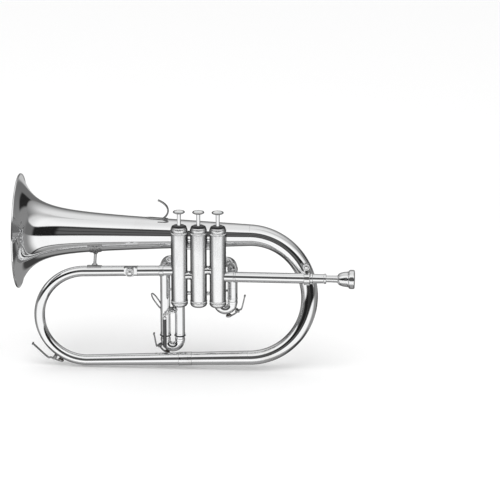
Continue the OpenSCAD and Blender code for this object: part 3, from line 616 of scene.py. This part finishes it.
def make_valve(i):
    """Casing, caps, felt, stem and button of one valve. Its piston stays as the CAD made it."""
    number = i + 1
    rider = f"valve_{number}"
    here = (VALVE_X[i], VALVE_Y, 0)
    turned(f"casing_{number}_tube", [
        (CASING_R, THREAD_LOW), (CASING_R, THREAD_HIGH), (THREAD_R, THREAD_HIGH), (THREAD_R, CASING_HIGH),
        (PISTON_R + 0.1, CASING_HIGH), (PISTON_R + 0.1, CASING_LOW),
        (THREAD_R, CASING_LOW), (THREAD_R, THREAD_LOW),
    ], here, Z, SATIN_PAINTED_EDGE_SHADE, "horn", VALVES[i], sides=128, slot="satin_silver")
    knurl = (THREAD_HIGH + 0.3, THREAD_HIGH + 2.2, 48, 0.35)
    turned(f"top_cap_{number}", [
        (THREAD_R, THREAD_HIGH), (CAP_R - 0.2, THREAD_HIGH),
        (CAP_R, THREAD_HIGH + 0.4), (CAP_R, THREAD_HIGH + 2.1),
        (CAP_R - 0.7, 190.2), (CAP_R - 0.7, 190.8), (CAP_R, 191.4), (CAP_R, 193.2), (CAP_R - 0.5, 194),
        *cap_crown(range(10, 91, 10)),
        (STEM_R + 0.1, CAP_TOP), (STEM_R + 0.1, CAP_TOP - 2.7),
        (PISTON_R, CAP_TOP - 2.7), (PISTON_R, CASING_HIGH), (THREAD_R, CASING_HIGH),
    ], here, Z, SATIN_PAINTED_EDGE_SHADE, "horn", "top_caps", sides=192, teeth=knurl, slot="satin_silver")
    under = cap_crown(range(48, 91, 7))
    over = [(r + 0.15, z + 0.45) for r, z in under]
    turned(f"cap_ring_{number}", under + over[::-1], here, Z, RUBBER, "horn", "top_caps", slot="rubber")
    belly = [(4.5 + 6.2 * math.cos(a), 90.6 - 3.6 * math.sin(a)) for a in np.radians(range(0, 80, 10))]
    turned(f"bottom_cap_{number}", [
        (THREAD_R, THREAD_LOW), (CAP_R - 0.2, THREAD_LOW), (CAP_R, THREAD_LOW - 0.4), (CAP_R, 94.2),
        (CAP_R - 0.6, 93.6), (CAP_R - 0.6, 93), (CAP_R, 92.4), (CAP_R, 91), *belly, (1.8, 87), (1.8, FLOOR_Z),
        (THREAD_R - 1, FLOOR_Z), (THREAD_R - 1, CASING_LOW), (THREAD_R, CASING_LOW),
    ], here, Z, SATIN_PAINTED_EDGE_SHADE, "horn", "bottom_caps", sides=192, teeth=(94.1, 95.7, 48, 0.3), slot="satin_silver")
    felt_low, felt_high = corners("cap_felts")[0][2], corners("cap_felts")[1][2]
    turned(f"felt_{number}", [
        (STEM_R + 0.2, felt_low), (FELT_R, felt_low), (FELT_R, felt_high), (STEM_R + 0.2, felt_high),
    ], here, Z, FELT, "horn", "cap_felts", cut=0.5, slot="felt")
    low, high = corners(f"button_{number}")
    base, top, r = low[2], high[2], half_width(f"button_{number}", 1)
    turned(f"stem_{number}_rod", [
        (0.01, PISTON_HIGH - 3), (STEM_R, PISTON_HIGH - 3), (STEM_R, PISTON_HIGH),
        (COLLAR_R, PISTON_HIGH), (COLLAR_R, PISTON_HIGH + 3), (STEM_R, PISTON_HIGH + 3), (STEM_R, 190.5),
        (COLLAR_R, 190.5), (COLLAR_R, CAP_TOP - 2.8), (STEM_R, CAP_TOP - 2.8), (STEM_R, base), (0.01, base),
    ], here, Z, SILVER, rider, f"stem_{number}")
    turned(f"button_{number}_cup", [
        (0.01, base), (3.2, base), (4.4, base + 0.15), (5.8, base + 0.45), (7.2, base + 1),
        (r - 0.1, base + 1.7), (r, base + 2.1), (r - 0.3, top - 0.3), (r - 0.9, top), (r - 1.6, top - 0.1),
        (r - 1.9, top - 0.75), (0.01, top - 0.95),
    ], here, Z, SILVER_PAINTED_SHADE, rider, f"button_{number}")
    pearl = [(r - 1.95, top - 0.85), (r - 2.1, top - 0.45), (r - 3.4, top - 0.5), (2.5, top - 0.72),
             (0.01, top - 0.76), (0.01, top - 0.9)]
    turned(f"button_{number}_pearl", pearl, here, Z, PEARL, rider, cut=0.1)


def make_spring(i):
    """Coil spring under the piston, made as a mesh of its own."""
    node = f"valve_spring_{i + 1}"
    low, high = corners(node)
    wire_r, turns = 0.45, 8
    coil_r = (high[1] - low[1]) / 2 - wire_r
    path = []
    for t in np.linspace(0, 1, turns * 36 + 1):
        a = 2 * math.pi * turns * t
        height = low[2] + wire_r + t * (high[2] - low[2] - 2 * wire_r)
        path.append((VALVE_X[i] + coil_r * math.cos(a), VALVE_Y + coil_r * math.sin(a), height))
    spring = add(f"spring_{i + 1}", sweep(path, wire_r, Z, 12), SPRING, "horn", node, slot="spring_wire")
    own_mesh(spring)


def make_leadpipe():
    """Leadpipe sleeve, the tuning pipe that slides in it, the receiver and the mouthpiece."""
    end = corners("leadpipe_sleeve")[1][0]
    here = (0, VALVE_Y, LEAD_Z)
    path = [(x, VALVE_Y, LEAD_Z) for x in (end, 90, VALVE_X[0])]
    shape = sweep(path, LEAD_R, Y, 96, LEAD_R - TUNING_R - 0.05)
    shape = fitted(shape, 0, np.array([end, VALVE_Y, LEAD_Z]), (-1, 0, 0))
    add("leadpipe_outer", shape, SILVER, "horn", "leadpipe_sleeve")
    x0, x1 = corners("tuning_pipe")[0][0], corners("tuning_pipe")[1][0]
    profile = [(TUNING_R, x0), (TUNING_R, x1), (4.6, x1), (5.2, x0)]
    turned("tuning_pipe_inner", profile, here, X, SILVER, "tuning_shank", "tuning_pipe")
    x0, x1 = corners("receiver")[0][0], corners("receiver")[1][0]
    turned("mouthpiece_receiver", [
        (5, x0), (6.5, x0), (7, x0 + 0.6), (7, x0 + 2.8), (6.5, x0 + 3.4), (6.25, x0 + 3.6), (6.1, x0 + 9),
        (5.95, x1 - 3.4), (6.2, x1 - 3.1), (6.7, x1 - 2.6), (6.7, x1 - 0.5), (6.3, x1), (4.75, x1), (4.2, x0),
    ], here, X, SILVER, "tuning_shank", "receiver")
    x0, x1 = corners("mouthpiece")[0][0], corners("mouthpiece")[1][0]
    shank_end, cup = x1 - 22.8, x1 - 8.4
    outline = [(3.0, x0), (4.0, x0), (4.55, shank_end - 2)]
    outline += [(4.8 + 5.3 * math.sin(a), shank_end + 0.4 + (cup - shank_end - 0.4) * (1 - math.cos(a)))
                for a in np.radians(range(0, 87, 6))]
    outline += [(10.7, cup + 0.3), (11.9, cup + 1), (12.5, cup + 2.2), (12.6, cup + 4)]
    outline += [(10.6 + 2 * math.cos(a), x1 - 2 + 2 * math.sin(a)) for a in np.radians(range(0, 91, 10))]
    outline += [(9.3, x1 - 0.4), (8.3, x1 - 1.6)]
    outline += [(1.9 + 6 * math.cos(a), x1 - 4 - 12 * math.sin(a)) for a in np.radians(range(0, 80, 8))]
    outline += [(1.9, x1 - 18)]
    turned("mouthpiece_cup", outline, here, X, SILVER_TRIM, "mouthpiece", "mouthpiece", cut=0.2, sides=128)


# ---- valve slides ----


def band(origin, axis, low, high, r, inner):
    """Raised band with eased edges around a tube, between two distances along the axis."""
    profile = [(inner, low), (r, low), (r, high), (inner, high)]
    return lathe(eased(profile, 0.3), origin, axis, 72)


def make_sleeve(valve, x, y, port_z, bend_r, open_z, leg_top):
    """Sleeve for one leg, the bend above it, and the tube that meets the casing."""
    plan = np.array([VALVE_X[valve] - x, VALVE_Y - y, 0])
    reach = np.linalg.norm(plan)
    toward = plan / reach
    across = np.cross(Z, toward)
    foot = np.array([x, y, 0])
    bend_z = port_z - bend_r
    seat = leg_top + 0.5
    path = line(foot + seat * Z, foot + (bend_z - 0.01) * Z, 3)
    path += arc(foot + bend_r * toward + bend_z * Z, bend_r, -toward, Z, 0, 90, 25)
    path += line(foot + (bend_r + 0.01) * toward + port_z * Z, foot + reach * toward + port_z * Z, 9)
    upper = fitted(sweep(path, SLEEVE_R, across, 72, 1.3), valve, foot, toward)
    lower = sweep(line(foot + open_z * Z, foot + (seat + 0.2) * Z, 3), SLEEVE_R, X, 72, SLEEVE_WALL)
    joint_r = SLEEVE_R + 0.4
    bands = [
        band((x, y, 0), Z, open_z, open_z + 2.6, joint_r - 0.15, LEG_R + 0.1),
        band((x, y, 0), Z, bend_z - 2, bend_z + 1.5, joint_r, SLEEVE_R - 0.3),
    ]
    start = foot + bend_r * toward + port_z * Z
    collar = band(start, toward, -1.5, 1.5, joint_r, SLEEVE_R - 0.3)
    return joined(upper, lower, fitted(collar, valve, foot, toward), *bands)


def make_slide_sleeves(number, valve, outward):
    """The two sleeves of an upright slide, and the bar that ties them."""
    low, high = corners(f"slide_{number}_sleeves")
    x, y = middle(f"slide_{number}")[:2]
    leg_top = corners(f"slide_{number}")[1][2]
    far_port_z = high[2] - SLEEVE_R - 0.4
    far = make_sleeve(valve, x + outward * LEG_HALF, y, far_port_z, FAR_BEND_R, low[2], leg_top)
    near = make_sleeve(valve, x - outward * LEG_HALF, y, NEAR_PORT_Z, NEAR_BEND_R, low[2], leg_top)
    tie_ends = (x - LEG_HALF + TIE_INSET, y, TIE_Z), (x + LEG_HALF - TIE_INSET, y, TIE_Z)
    tie = sweep(line(*tie_ends), TIE_R, Y, 32)
    add(f"slide_{number}_outer", joined(far, near, tie), SILVER, "horn", f"slide_{number}_sleeves")


def make_u_slide(number, body):
    """The sliding part of an upright slide: two legs, their bands and the bow."""
    low, high = corners(f"slide_{number}")
    x, y = middle(f"slide_{number}")[:2]
    bow_z = low[2] + LEG_HALF + CROOK_R
    legs, bands = [], []
    for side in (x - LEG_HALF, x + LEG_HALF):
        leg_path = line((side, y, bow_z - 0.5), (side, y, high[2]), 3)
        legs.append(sweep(leg_path, LEG_R, X, 72, LEG_WALL))
        bands.append(band((side, y, 0), Z, bow_z - 0.5, bow_z + 3, CROOK_R + 0.4, LEG_R - 0.2))
    bow = sweep(arc((x, y, bow_z), LEG_HALF, X, Z, 180, 360, 49), CROOK_R, Y, 72, CROOK_WALL)
    add(f"slide_{number}_inner", joined(*legs, bow, *bands), SILVER, body, f"slide_{number}")


def make_slide_2():
    """Short slide that lies along Y behind the middle valve, with its sleeves and a pull knob."""
    x, z = VALVE_X[1], middle("slide_2_sleeves")[2]
    mouth = corners("slide_2_sleeves")[1][1]
    low, high = corners("slide_2")
    bow_y = high[1] - 4.5 - LEG_HALF - CROOK_R
    sleeves, legs = [], []
    for side in (-LEG_HALF, LEG_HALF):
        height = z + side
        tube = sweep(line((x, mouth, height), (x, VALVE_Y, height), 9), SLEEVE_R, X, 72, SLEEVE_WALL)
        sleeves.append(fitted(tube, 1, np.array([x, mouth, height]), (0, -1, 0)))
        sleeves.append(band((x, mouth, height), Y, -2.6, 0, SLEEVE_R + 0.4, SLEEVE_R - 0.2))
        legs.append(sweep(line((x, low[1], height), (x, bow_y, height), 3), LEG_R, X, 72, LEG_WALL))
        legs.append(band((x, bow_y, height), Y, -3, 0.5, CROOK_R + 0.4, LEG_R - 0.2))
    bow = sweep(arc((x, bow_y, z), LEG_HALF, Z, Y, 0, 180, 49), CROOK_R, X, 72, CROOK_WALL)
    back = bow_y + LEG_HALF + CROOK_R
    knob = [(0.01, -1), (1.8, -1), (1.8, 2), (3.4, 2.1), (4, 3), (3.8, 4.1), (2.6, 4.4), (0.01, 4.5)]
    knob = lathe(eased(knob, 0.3), (x, back, z), Y, 64)
    add("slide_2_outer", joined(*sleeves), SILVER, "horn", "slide_2_sleeves")
    add("slide_2_inner", joined(*legs, bow, knob), SILVER, "second_slide", "slide_2")


# ---- water keys ----

# the body whose bow each key sits on
BOW_BODY = {"main_key": "horn", "key_1": "first_slide", "key_3": "third_slide"}


def rounded_bar(path, thin, wide, sides=28):
    """Bar with an oval section that follows a path, and is wide across the horn."""
    return sweep(path, thin, Y, sides, flat=wide / thin)


def smooth_path(points, steps=7):
    """Curve through the points, from a Catmull-Rom spline."""
    points = [np.asarray(p, float) for p in points]
    ends = [2 * points[0] - points[1], *points, 2 * points[-1] - points[-2]]
    out = [points[0]]
    for a, b, c, d in zip(ends, ends[1:], ends[2:], ends[3:]):
        for t in np.linspace(0, 1, steps + 1)[1:]:
            bend = (2 * a - 5 * b + 4 * c - d) * t**2
            twist = (3 * b - a - 3 * c + d) * t**3
            out.append(0.5 * (2 * b + (c - a) * t + bend + twist))
    return out


def pin_shape(centre, half, r, dome=0.35):
    """Round pin along Y with softly domed ends."""
    profile = [(0.01, -half - dome), (0.6 * r, -half - 0.75 * dome), (r, -half), (r, half),
               (0.6 * r, half + 0.75 * dome), (0.01, half + dome)]
    return lathe(profile, centre, Y, 40, False)


def make_key(key, body, bow_x, bow_z, bow_r, bend_from_tip, tip_side):
    """Saddle, pin and lever of one water key on a bow in the XZ plane. Its cork stays from the CAD."""
    bow = np.array([bow_x, middle(f"{key}_pin")[1], bow_z])
    hinge = middle(f"{key}_pin")
    cork = middle(f"{key}_cork")
    out = (cork - bow) / np.linalg.norm(cork - bow)
    low, high = corners(f"{key}_lever")
    tip = np.array([low[0] + 1.3 if tip_side < 0 else high[0] - 1.3, hinge[1], high[2] - 1.3])
    bend = tip + np.array([bend_from_tip[0], 0, bend_from_tip[1]])
    cup = cork + 1.9 * out
    lower_arm = rounded_bar(smooth_path([cup, (cup + hinge) / 2 + 0.5 * out, hinge]), 1.1, 1.5)
    upper = smooth_path([hinge, (hinge + bend) / 2, bend, tip])
    widths = np.linspace(1.5, 3.2, len(upper))
    upper_arm = sweep(upper, np.linspace(1.2, 0.9, len(upper)), Y, 28, flat=widths)
    barrel = lathe(eased([(1.05, -1.7), (2.1, -1.7), (2.1, 1.7), (1.05, 1.7)], 0.3), hinge, Y, 48)
    roll = pin_shape(tip, 2.9, 1.25)
    lid = [(0.01, 2.3), (1.6, 2.25), (2.9, 1.8), (3.6, 1.2), (3.85, 0.5), (3.95, -0.1), (3.95, -0.6),
           (3.15, -0.6), (3.15, 0.79), (0.01, 0.79)]
    cup_lid = lathe(eased(lid, 0.15, False), cork, out, 56, False)
    add(f"{key}_arm", joined(lower_arm, upper_arm, barrel, roll, cup_lid), SILVER_PAINTED_SHADE, body, f"{key}_lever")
    spout = [(2.9, -2.3), (2.5, -0.85), (1.25, -0.85), (1.25, -2.6), (3.0, -2.6)]
    to_bow = np.linalg.norm(hinge - bow)
    foot = hinge + (bow - hinge) * ((to_bow - bow_r - 0.6) / to_bow)
    ears = []
    for side in (-1, 1):
        shift = side * 2.65 * Y
        ear = smooth_path([foot + shift, (foot + hinge) / 2 + shift, hinge + shift])
        ears.append(sweep(ear, np.linspace(2.3, 1.9, len(ear)), Y, 32, flat=0.34))
    seat = lathe(eased(spout, 0.15), cork - 0.2 * out, out, 56)
    add(f"{key}_ears", joined(seat, *ears), SILVER_PAINTED_DEEP_SHADE, BOW_BODY[key], f"{key}_saddle")
    add(f"{key}_axle", pin_shape(hinge, 3.7, 0.98), SILVER_TRIM, BOW_BODY[key], f"{key}_pin")


def make_water_keys():
    """The water keys of the front bow and of the first and third slides."""
    front_outer_r = FRONT_BOW_R + FRONT_TUBE_R
    make_key("main_key", "main_water_key", FRONT_BOW_X, FRONT_BOW_Z, front_outer_r, (18.6, -17.7), -1)
    for number, tip_side, bend in ((1, 1, (-4, -16.9)), (3, -1, (3, -15.8))):
        low, high = corners(f"slide_{number}")
        bow_x = (low[0] + high[0]) / 2
        bow_z = low[2] + CROOK_R + LEG_HALF
        body = "first_water_key" if number == 1 else "third_water_key"
        make_key(f"key_{number}", body, bow_x, bow_z, LEG_HALF + CROOK_R, bend, tip_side)


# ---- trigger ----


def make_trigger():
    """Bearing, lever with its finger ring, and the dark rod of the third slide's trigger."""
    bearing = middle("trigger_bracket")
    low, high = corners("trigger_bracket")
    half = (high[1] - low[1]) / 2
    barrel = lathe(eased([(1.5, -half), (2.9, -half), (2.9, half), (1.5, half)], 0.4), bearing, Y, 56)
    web = lathe([(4.2, -4.4), (3.6, -2.6), (3.1, 0), (3.6, 2.6), (4.2, 4.4)], bearing, X, 56, False)
    add("trigger_bearing", joined(barrel, web), SATIN_PAINTED_EDGE_SHADE, "horn", "trigger_bracket")

    rod_x, rod_high = middle("push_rod")[0], corners("push_rod")[1][2]
    rod_y = corners("push_rod")[0][1] + ROD_R
    ball = np.array([rod_x, rod_y, rod_high + 2.75])
    ball_r = 2.3
    ball_line = [(ball_r * math.sin(a), -ball_r * math.cos(a)) for a in np.linspace(0.01, math.pi - 0.01, 25)]
    shaft = [bearing - (bearing[1] - rod_y + 1.6) * Y, bearing + (-1 - bearing[1]) * Y]
    cross = np.array([-34.3, -0.25, 72.2])
    arm_y = -3
    arm_end = np.array([cross[0], arm_y, cross[2]])
    arm_start = np.array([bearing[0], arm_y, bearing[2]])
    arm_middle = (arm_start + arm_end) / 2 + np.array([0, 0, 0.3])
    shapes = [
        sweep(line(*shaft, 3), 1.42, Z, 40),
        rounded_bar(smooth_path([np.array([bearing[0], rod_y, bearing[2]]), ball]), 1.4, 1.6),
        lathe(ball_line, ball, Z, 48, False),
        rounded_bar(smooth_path([arm_start, arm_middle, arm_end]), 1.25, 2.5),
        pin_shape(cross, 5.2, 1.45),
        finger_ring(),
    ]
    add("trigger_link", joined(*shapes[:3]), SILVER_TRIM, "trigger", "trigger_lever")
    add("trigger_arm", joined(*shapes[3:]), SILVER_PAINTED_SHADE, "trigger", "trigger_lever")

    foot_z = corners("push_rod")[0][2]
    tip = 3.2
    bar_z, bar_r = 31, 2.2  # short bar from the rod to the slide's bow
    profile = [(0.01, foot_z), (ROD_R - 0.5, foot_z), (ROD_R, foot_z + 0.6), (ROD_R, rod_high - tip)]
    add("push_rod_body", joined(
        lathe(eased(profile, 0.2, False), (rod_x, rod_y, 0), Z, 64, False),
        sweep([(rod_x, rod_y, bar_z), (rod_x, SLIDE_Y - CROOK_R - 0.3, bar_z)], bar_r, Z, 32),
    ), DARK_ROD, "third_slide", "push_rod")
    end = [(ROD_R, rod_high - tip), (ROD_R, rod_high - 0.9), (ROD_R - 0.8, rod_high - 0.1), (0.01, rod_high)]
    tip_shape = lathe(eased(end, 0.3, False), (rod_x, rod_y, 0), Z, 64, False)
    add("push_rod_tip", tip_shape, SILVER_TRIM, "third_slide", "push_rod")


def finger_ring():
    """Oval ring of round wire, set across the horn at the end of the trigger."""
    along = np.array([-0.578, 0, 0.816])
    out, half_len, wire = 9.5, 2.4, 0.95
    centre = np.array([-41, 4.6, 81.2])
    path = []
    for side in (1, -1):
        path += arc(centre + side * half_len * along, out, side * along, side * Y, -90, 90, 40)
    normal = np.cross(along, Y)
    count = len(path)
    rings = []
    angles = np.linspace(0, 2 * math.pi, 24, endpoint=False)
    for i, p in enumerate(path):
        t = path[(i + 1) % count] - path[i - 1]
        t /= np.linalg.norm(t)
        m = np.cross(t, normal)
        rings.append(p + wire * (np.outer(np.cos(angles), m) + np.outer(np.sin(angles), normal)))
    return grid(rings, close_rings=True)


# ---- hook and thumbscrews ----


def make_hook():
    """Little-finger hook: a foot let onto the bell and a curl with a rolled edge."""
    p = [np.array([x, 0, z]) for x, z in HOOK_POINTS]
    curl = []
    for t in np.linspace(0, 1, 41):
        weights = [math.comb(4, k) * t**k * (1 - t) ** (4 - k) for k in range(5)]
        curl.append(sum(w * q for w, q in zip(weights, p)))
    strap = sweep(curl, np.linspace(1.25, 1.0, 41), Y, 36, flat=3.3)
    low = corners("finger_hook")[0]
    foot = []
    for x in np.linspace(low[0] + 0.3, -25, 15):
        d = x - BELL_START
        foot.append((x, 0, BELL_Z + bell_radius(d) + 0.3))
    taper = [0.75 * min(1, 0.35 + 0.2 * i) for i in range(15)]
    plate = sweep(foot, taper, Y, 36, flat=5.2)
    add("little_finger_hook", joined(strap, plate), SILVER_PAINTED_SHADE, "horn", "finger_hook")


def make_thumbscrew(node, body, shank_r, boss_r):
    """Coin-edged head with a raised boss, and its shank, along Y."""
    low, high = corners(node)
    centre = (low + high) / 2
    head_r = (high[2] - low[2]) / 2
    face = low[1]
    length = high[1] - face
    profile = [(0.01, 0), (0.35 * boss_r, 0.06), (0.7 * boss_r, 0.35), (0.92 * boss_r, 0.9), (boss_r, 1.3),
               (boss_r + 0.5, 1.25), (head_r - 0.9, 0.25), (head_r - 0.35, 0.3), (head_r, 0.8), (head_r, 2.7),
               (head_r - 0.4, 3), (shank_r, 3), (shank_r, length - 0.4), (shank_r - 0.4, length),
               (0.01, length)]
    shape = lathe(profile, (centre[0], face, centre[2]), Y, 180, False, teeth=(0.5, 2.8, 30, 0.5))
    add(f"{node}_turned", shape, SILVER_TRIM, body, node)


make_bell()
make_bows()
for valve in range(3):
    make_valve(valve)
    make_spring(valve)
make_leadpipe()
make_slide_sleeves(1, 0, 1)
make_slide_sleeves(3, 2, -1)
make_u_slide(1, "first_slide")
make_u_slide(3, "third_slide")
make_slide_2()
make_water_keys()
make_trigger()
make_hook()
make_thumbscrew("clamp_screw", "clamp_screw", 1.6, 2.6)
make_thumbscrew("lyre_screw", "lyre_screw", 1.5, 3.4)


# ---- nodes that stay, with their finish ----

POLISHED = {
    SILVER_TRIM: [
        "ferrules", "valve_knuckles", "casing_braces", "tuning_clamp", "bow_brace", "lyre_box",
    ],
    SILVER_PAINTED_SHADE: ["bell_brace"],
    PISTON: ["piston_1", "piston_2", "piston_3"],
    RUBBER: ["slide_3_bumpers"],
    CORK: ["main_key_cork", "key_1_cork", "key_3_cork"],
}
for material, names in POLISHED.items():
    for name in names:
        polish(name, material)


# ---- studio ----


def blend(n, factor, a, b):
    """A value that goes from a to b as the factor goes from 0 to 1."""
    rest = n.math("MULTIPLY", n.math("SUBTRACT", 1.0, factor), a)
    return n.math("ADD", rest, n.math("MULTIPLY", factor, b))


def make_world():
    """Reflections come from a soft studio: bright above, a dark strip at eye level, bright
    below with grey flanks. The camera itself sees a plain pale room.

    Angles are in degrees and tones run from 0 to 1. elevation is the height of a direction,
    facing is its turn away from the Y axis, and near is 1 on the camera's side."""
    world = bpy.data.worlds.new("studio")
    bpy.context.scene.world = world
    world.use_nodes = True
    n = Nodes(world.node_tree)
    n.tree.nodes.clear()
    place = n.new("ShaderNodeTexCoord").outputs["Generated"]
    split = n.new("ShaderNodeSeparateXYZ")
    n.put(split.inputs[0], place)
    side, depth, height = split.outputs
    elevation = n.math("MULTIPLY", n.math("ARCSINE", height), 180 / math.pi)
    turn = n.math("ARCTAN2", n.math("ABSOLUTE", side), n.math("ABSOLUTE", depth))
    facing = n.math("MULTIPLY", turn, 180 / math.pi)
    near = n.ramp(depth, -0.12, 0.12, 1.0, 0.0)
    flank = n.ramp(facing, 50, 88, 1.0, 0.66)
    sky_near = n.ramp(elevation, 44, 84, 1.0, 0.80)
    sky_far = n.ramp(elevation, 20, 66, 0.26, 0.80)
    sky = n.math("MULTIPLY", flank, blend(n, near, sky_far, sky_near))
    middle_line = n.math("ABSOLUTE", n.math("SUBTRACT", elevation, 19.0))
    strip_line = n.ramp(middle_line, 0.6, 3.5, 0.35, 1.0)
    strip = n.math("MULTIPLY", strip_line, n.ramp(middle_line, 11, 19, 0.11, 0.035))
    strip = blend(n, n.ramp(facing, 15, 20), strip, 0.014)
    strip = blend(n, n.ramp(facing, 56, 66), strip, 0.15)
    wedge = n.math("MULTIPLY", n.ramp(facing, 31, 36), n.ramp(facing, 56, 63, 1.0, 0.0))
    wedge = n.math("MULTIPLY", wedge, n.ramp(elevation, 4, 8))
    strip_far = blend(n, wedge, n.ramp(facing, 30, 70, 0.16, 0.24), 0.02)
    strip = blend(n, near, strip_far, strip)
    seam = n.ramp(n.math("ABSOLUTE", n.math("ADD", elevation, 49.0)), 1.0, 3.5, 0.10, 1.0)
    ground = n.math("MULTIPLY", n.ramp(elevation, -58, -46, 0.34, 1.0), seam)
    ground = n.math("MULTIPLY", ground, n.ramp(facing, 50, 82, 1.0, 0.26))
    ground_deep = n.ramp(elevation, -70, -57, 0.30, 0.05)
    ground_far = n.math("ADD", ground_deep, n.ramp(elevation, -41, -35, 0.0, 0.23))
    glow = n.math("MULTIPLY", n.ramp(elevation, -17, -12), n.ramp(facing, 16, 24, 0.26, 0.0))
    ground_far = n.math("ADD", ground_far, glow)
    level = n.ramp(n.math("ABSOLUTE", n.math("ADD", elevation, 18.5)), 4, 8, 1.0, 0.0)
    side_band = n.math("MULTIPLY", n.ramp(facing, 18, 24), n.ramp(facing, 56, 66, 1.0, 0.0))
    ground_far = blend(n, n.math("MULTIPLY", level, side_band), ground_far, 0.06)
    ground = blend(n, near, ground_far, ground)
    strip_top = blend(n, near, 25.0, n.ramp(facing, 5, 70, 44.0, 20.0))
    over = n.ramp(n.math("SUBTRACT", elevation, strip_top), -2.5, 2.5)
    pattern = blend(n, over, blend(n, n.ramp(elevation, -6, -2.5), ground, strip), sky)
    tone = n.new("ShaderNodeCombineColor")
    for channel in tone.inputs:
        n.put(channel, pattern)
    path = n.new("ShaderNodeLightPath")
    studio = n.new("ShaderNodeBackground")
    n.put(studio.inputs["Color"], tone.outputs[0])
    plain = n.new("ShaderNodeBackground")
    plain.inputs["Color"].default_value = (0.98, 0.98, 0.98, 1)
    choose = n.new("ShaderNodeMixShader")
    n.put(choose.inputs[0], path.outputs["Is Glossy Ray"])
    n.put(choose.inputs[1], plain.outputs[0])
    n.put(choose.inputs[2], studio.outputs[0])
    out = n.new("ShaderNodeOutputWorld")
    n.put(out.inputs["Surface"], choose.outputs[0])


def make_floor():
    """Wide sheet of pale paper, which stays out of the reflections."""
    mesh = bpy.data.meshes.new("floor")
    reach = 12.0
    verts = [(-reach, -reach, 0), (reach, -reach, 0), (reach, reach, 0), (-reach, reach, 0)]
    mesh.from_pydata(verts, [], [(0, 1, 2, 3)])
    floor = bpy.data.objects.new("floor", mesh)
    bpy.context.scene.collection.objects.link(floor)
    floor.visible_glossy = False
    material, n, shader, place = new_material("floor_paper")
    tooth = n.noise(300, 3, 0.5, place)
    n.put(shader.inputs["Base Color"], n.mix(tooth, (0.96, 0.96, 0.96, 1), (0.98, 0.98, 0.98, 1)))
    shader.inputs["Roughness"].default_value = 0.9
    mesh.materials.append(material)


def make_light():
    """One large soft light above and in front."""
    data = bpy.data.lights.new("softbox", "AREA")
    data.shape = "RECTANGLE"
    data.size = 2.2
    data.size_y = 1.6
    data.energy = 13
    light = bpy.data.objects.new("softbox", data)
    light.location = (-0.5, -0.9, 2.2)
    light.rotation_euler = (Vector((0, 0, 0.1)) - light.location).to_track_quat("-Z", "Y").to_euler()
    light.visible_glossy = False
    bpy.context.scene.collection.objects.link(light)


def make_camera():
    """Long lens, slightly to the player's left of square on and a little above."""
    azimuth, elevation = math.radians(4.9), math.radians(18.5)
    distance = 4.0
    right = Vector((math.cos(azimuth), math.sin(azimuth), 0))
    ahead = Vector((-math.sin(azimuth) * math.cos(elevation), math.cos(azimuth) * math.cos(elevation),
                    -math.sin(elevation)))
    up = right.cross(ahead)
    centre = Vector((0.0166, -0.015, 0.104))
    aim = centre + 0.068 * right + 0.0528 * up
    data = bpy.data.cameras.new("camera")
    data.lens = 218
    data.sensor_width = 36
    data.clip_end = 60
    camera = bpy.data.objects.new("camera", data)
    camera.location = centre - distance * ahead
    camera.rotation_euler = (aim - camera.location).to_track_quat("-Z", "Y").to_euler()
    bpy.context.scene.collection.objects.link(camera)
    bpy.context.scene.camera = camera
    bpy.context.scene.view_settings.view_transform = "Standard"


make_world()
make_floor()
make_light()
make_camera()
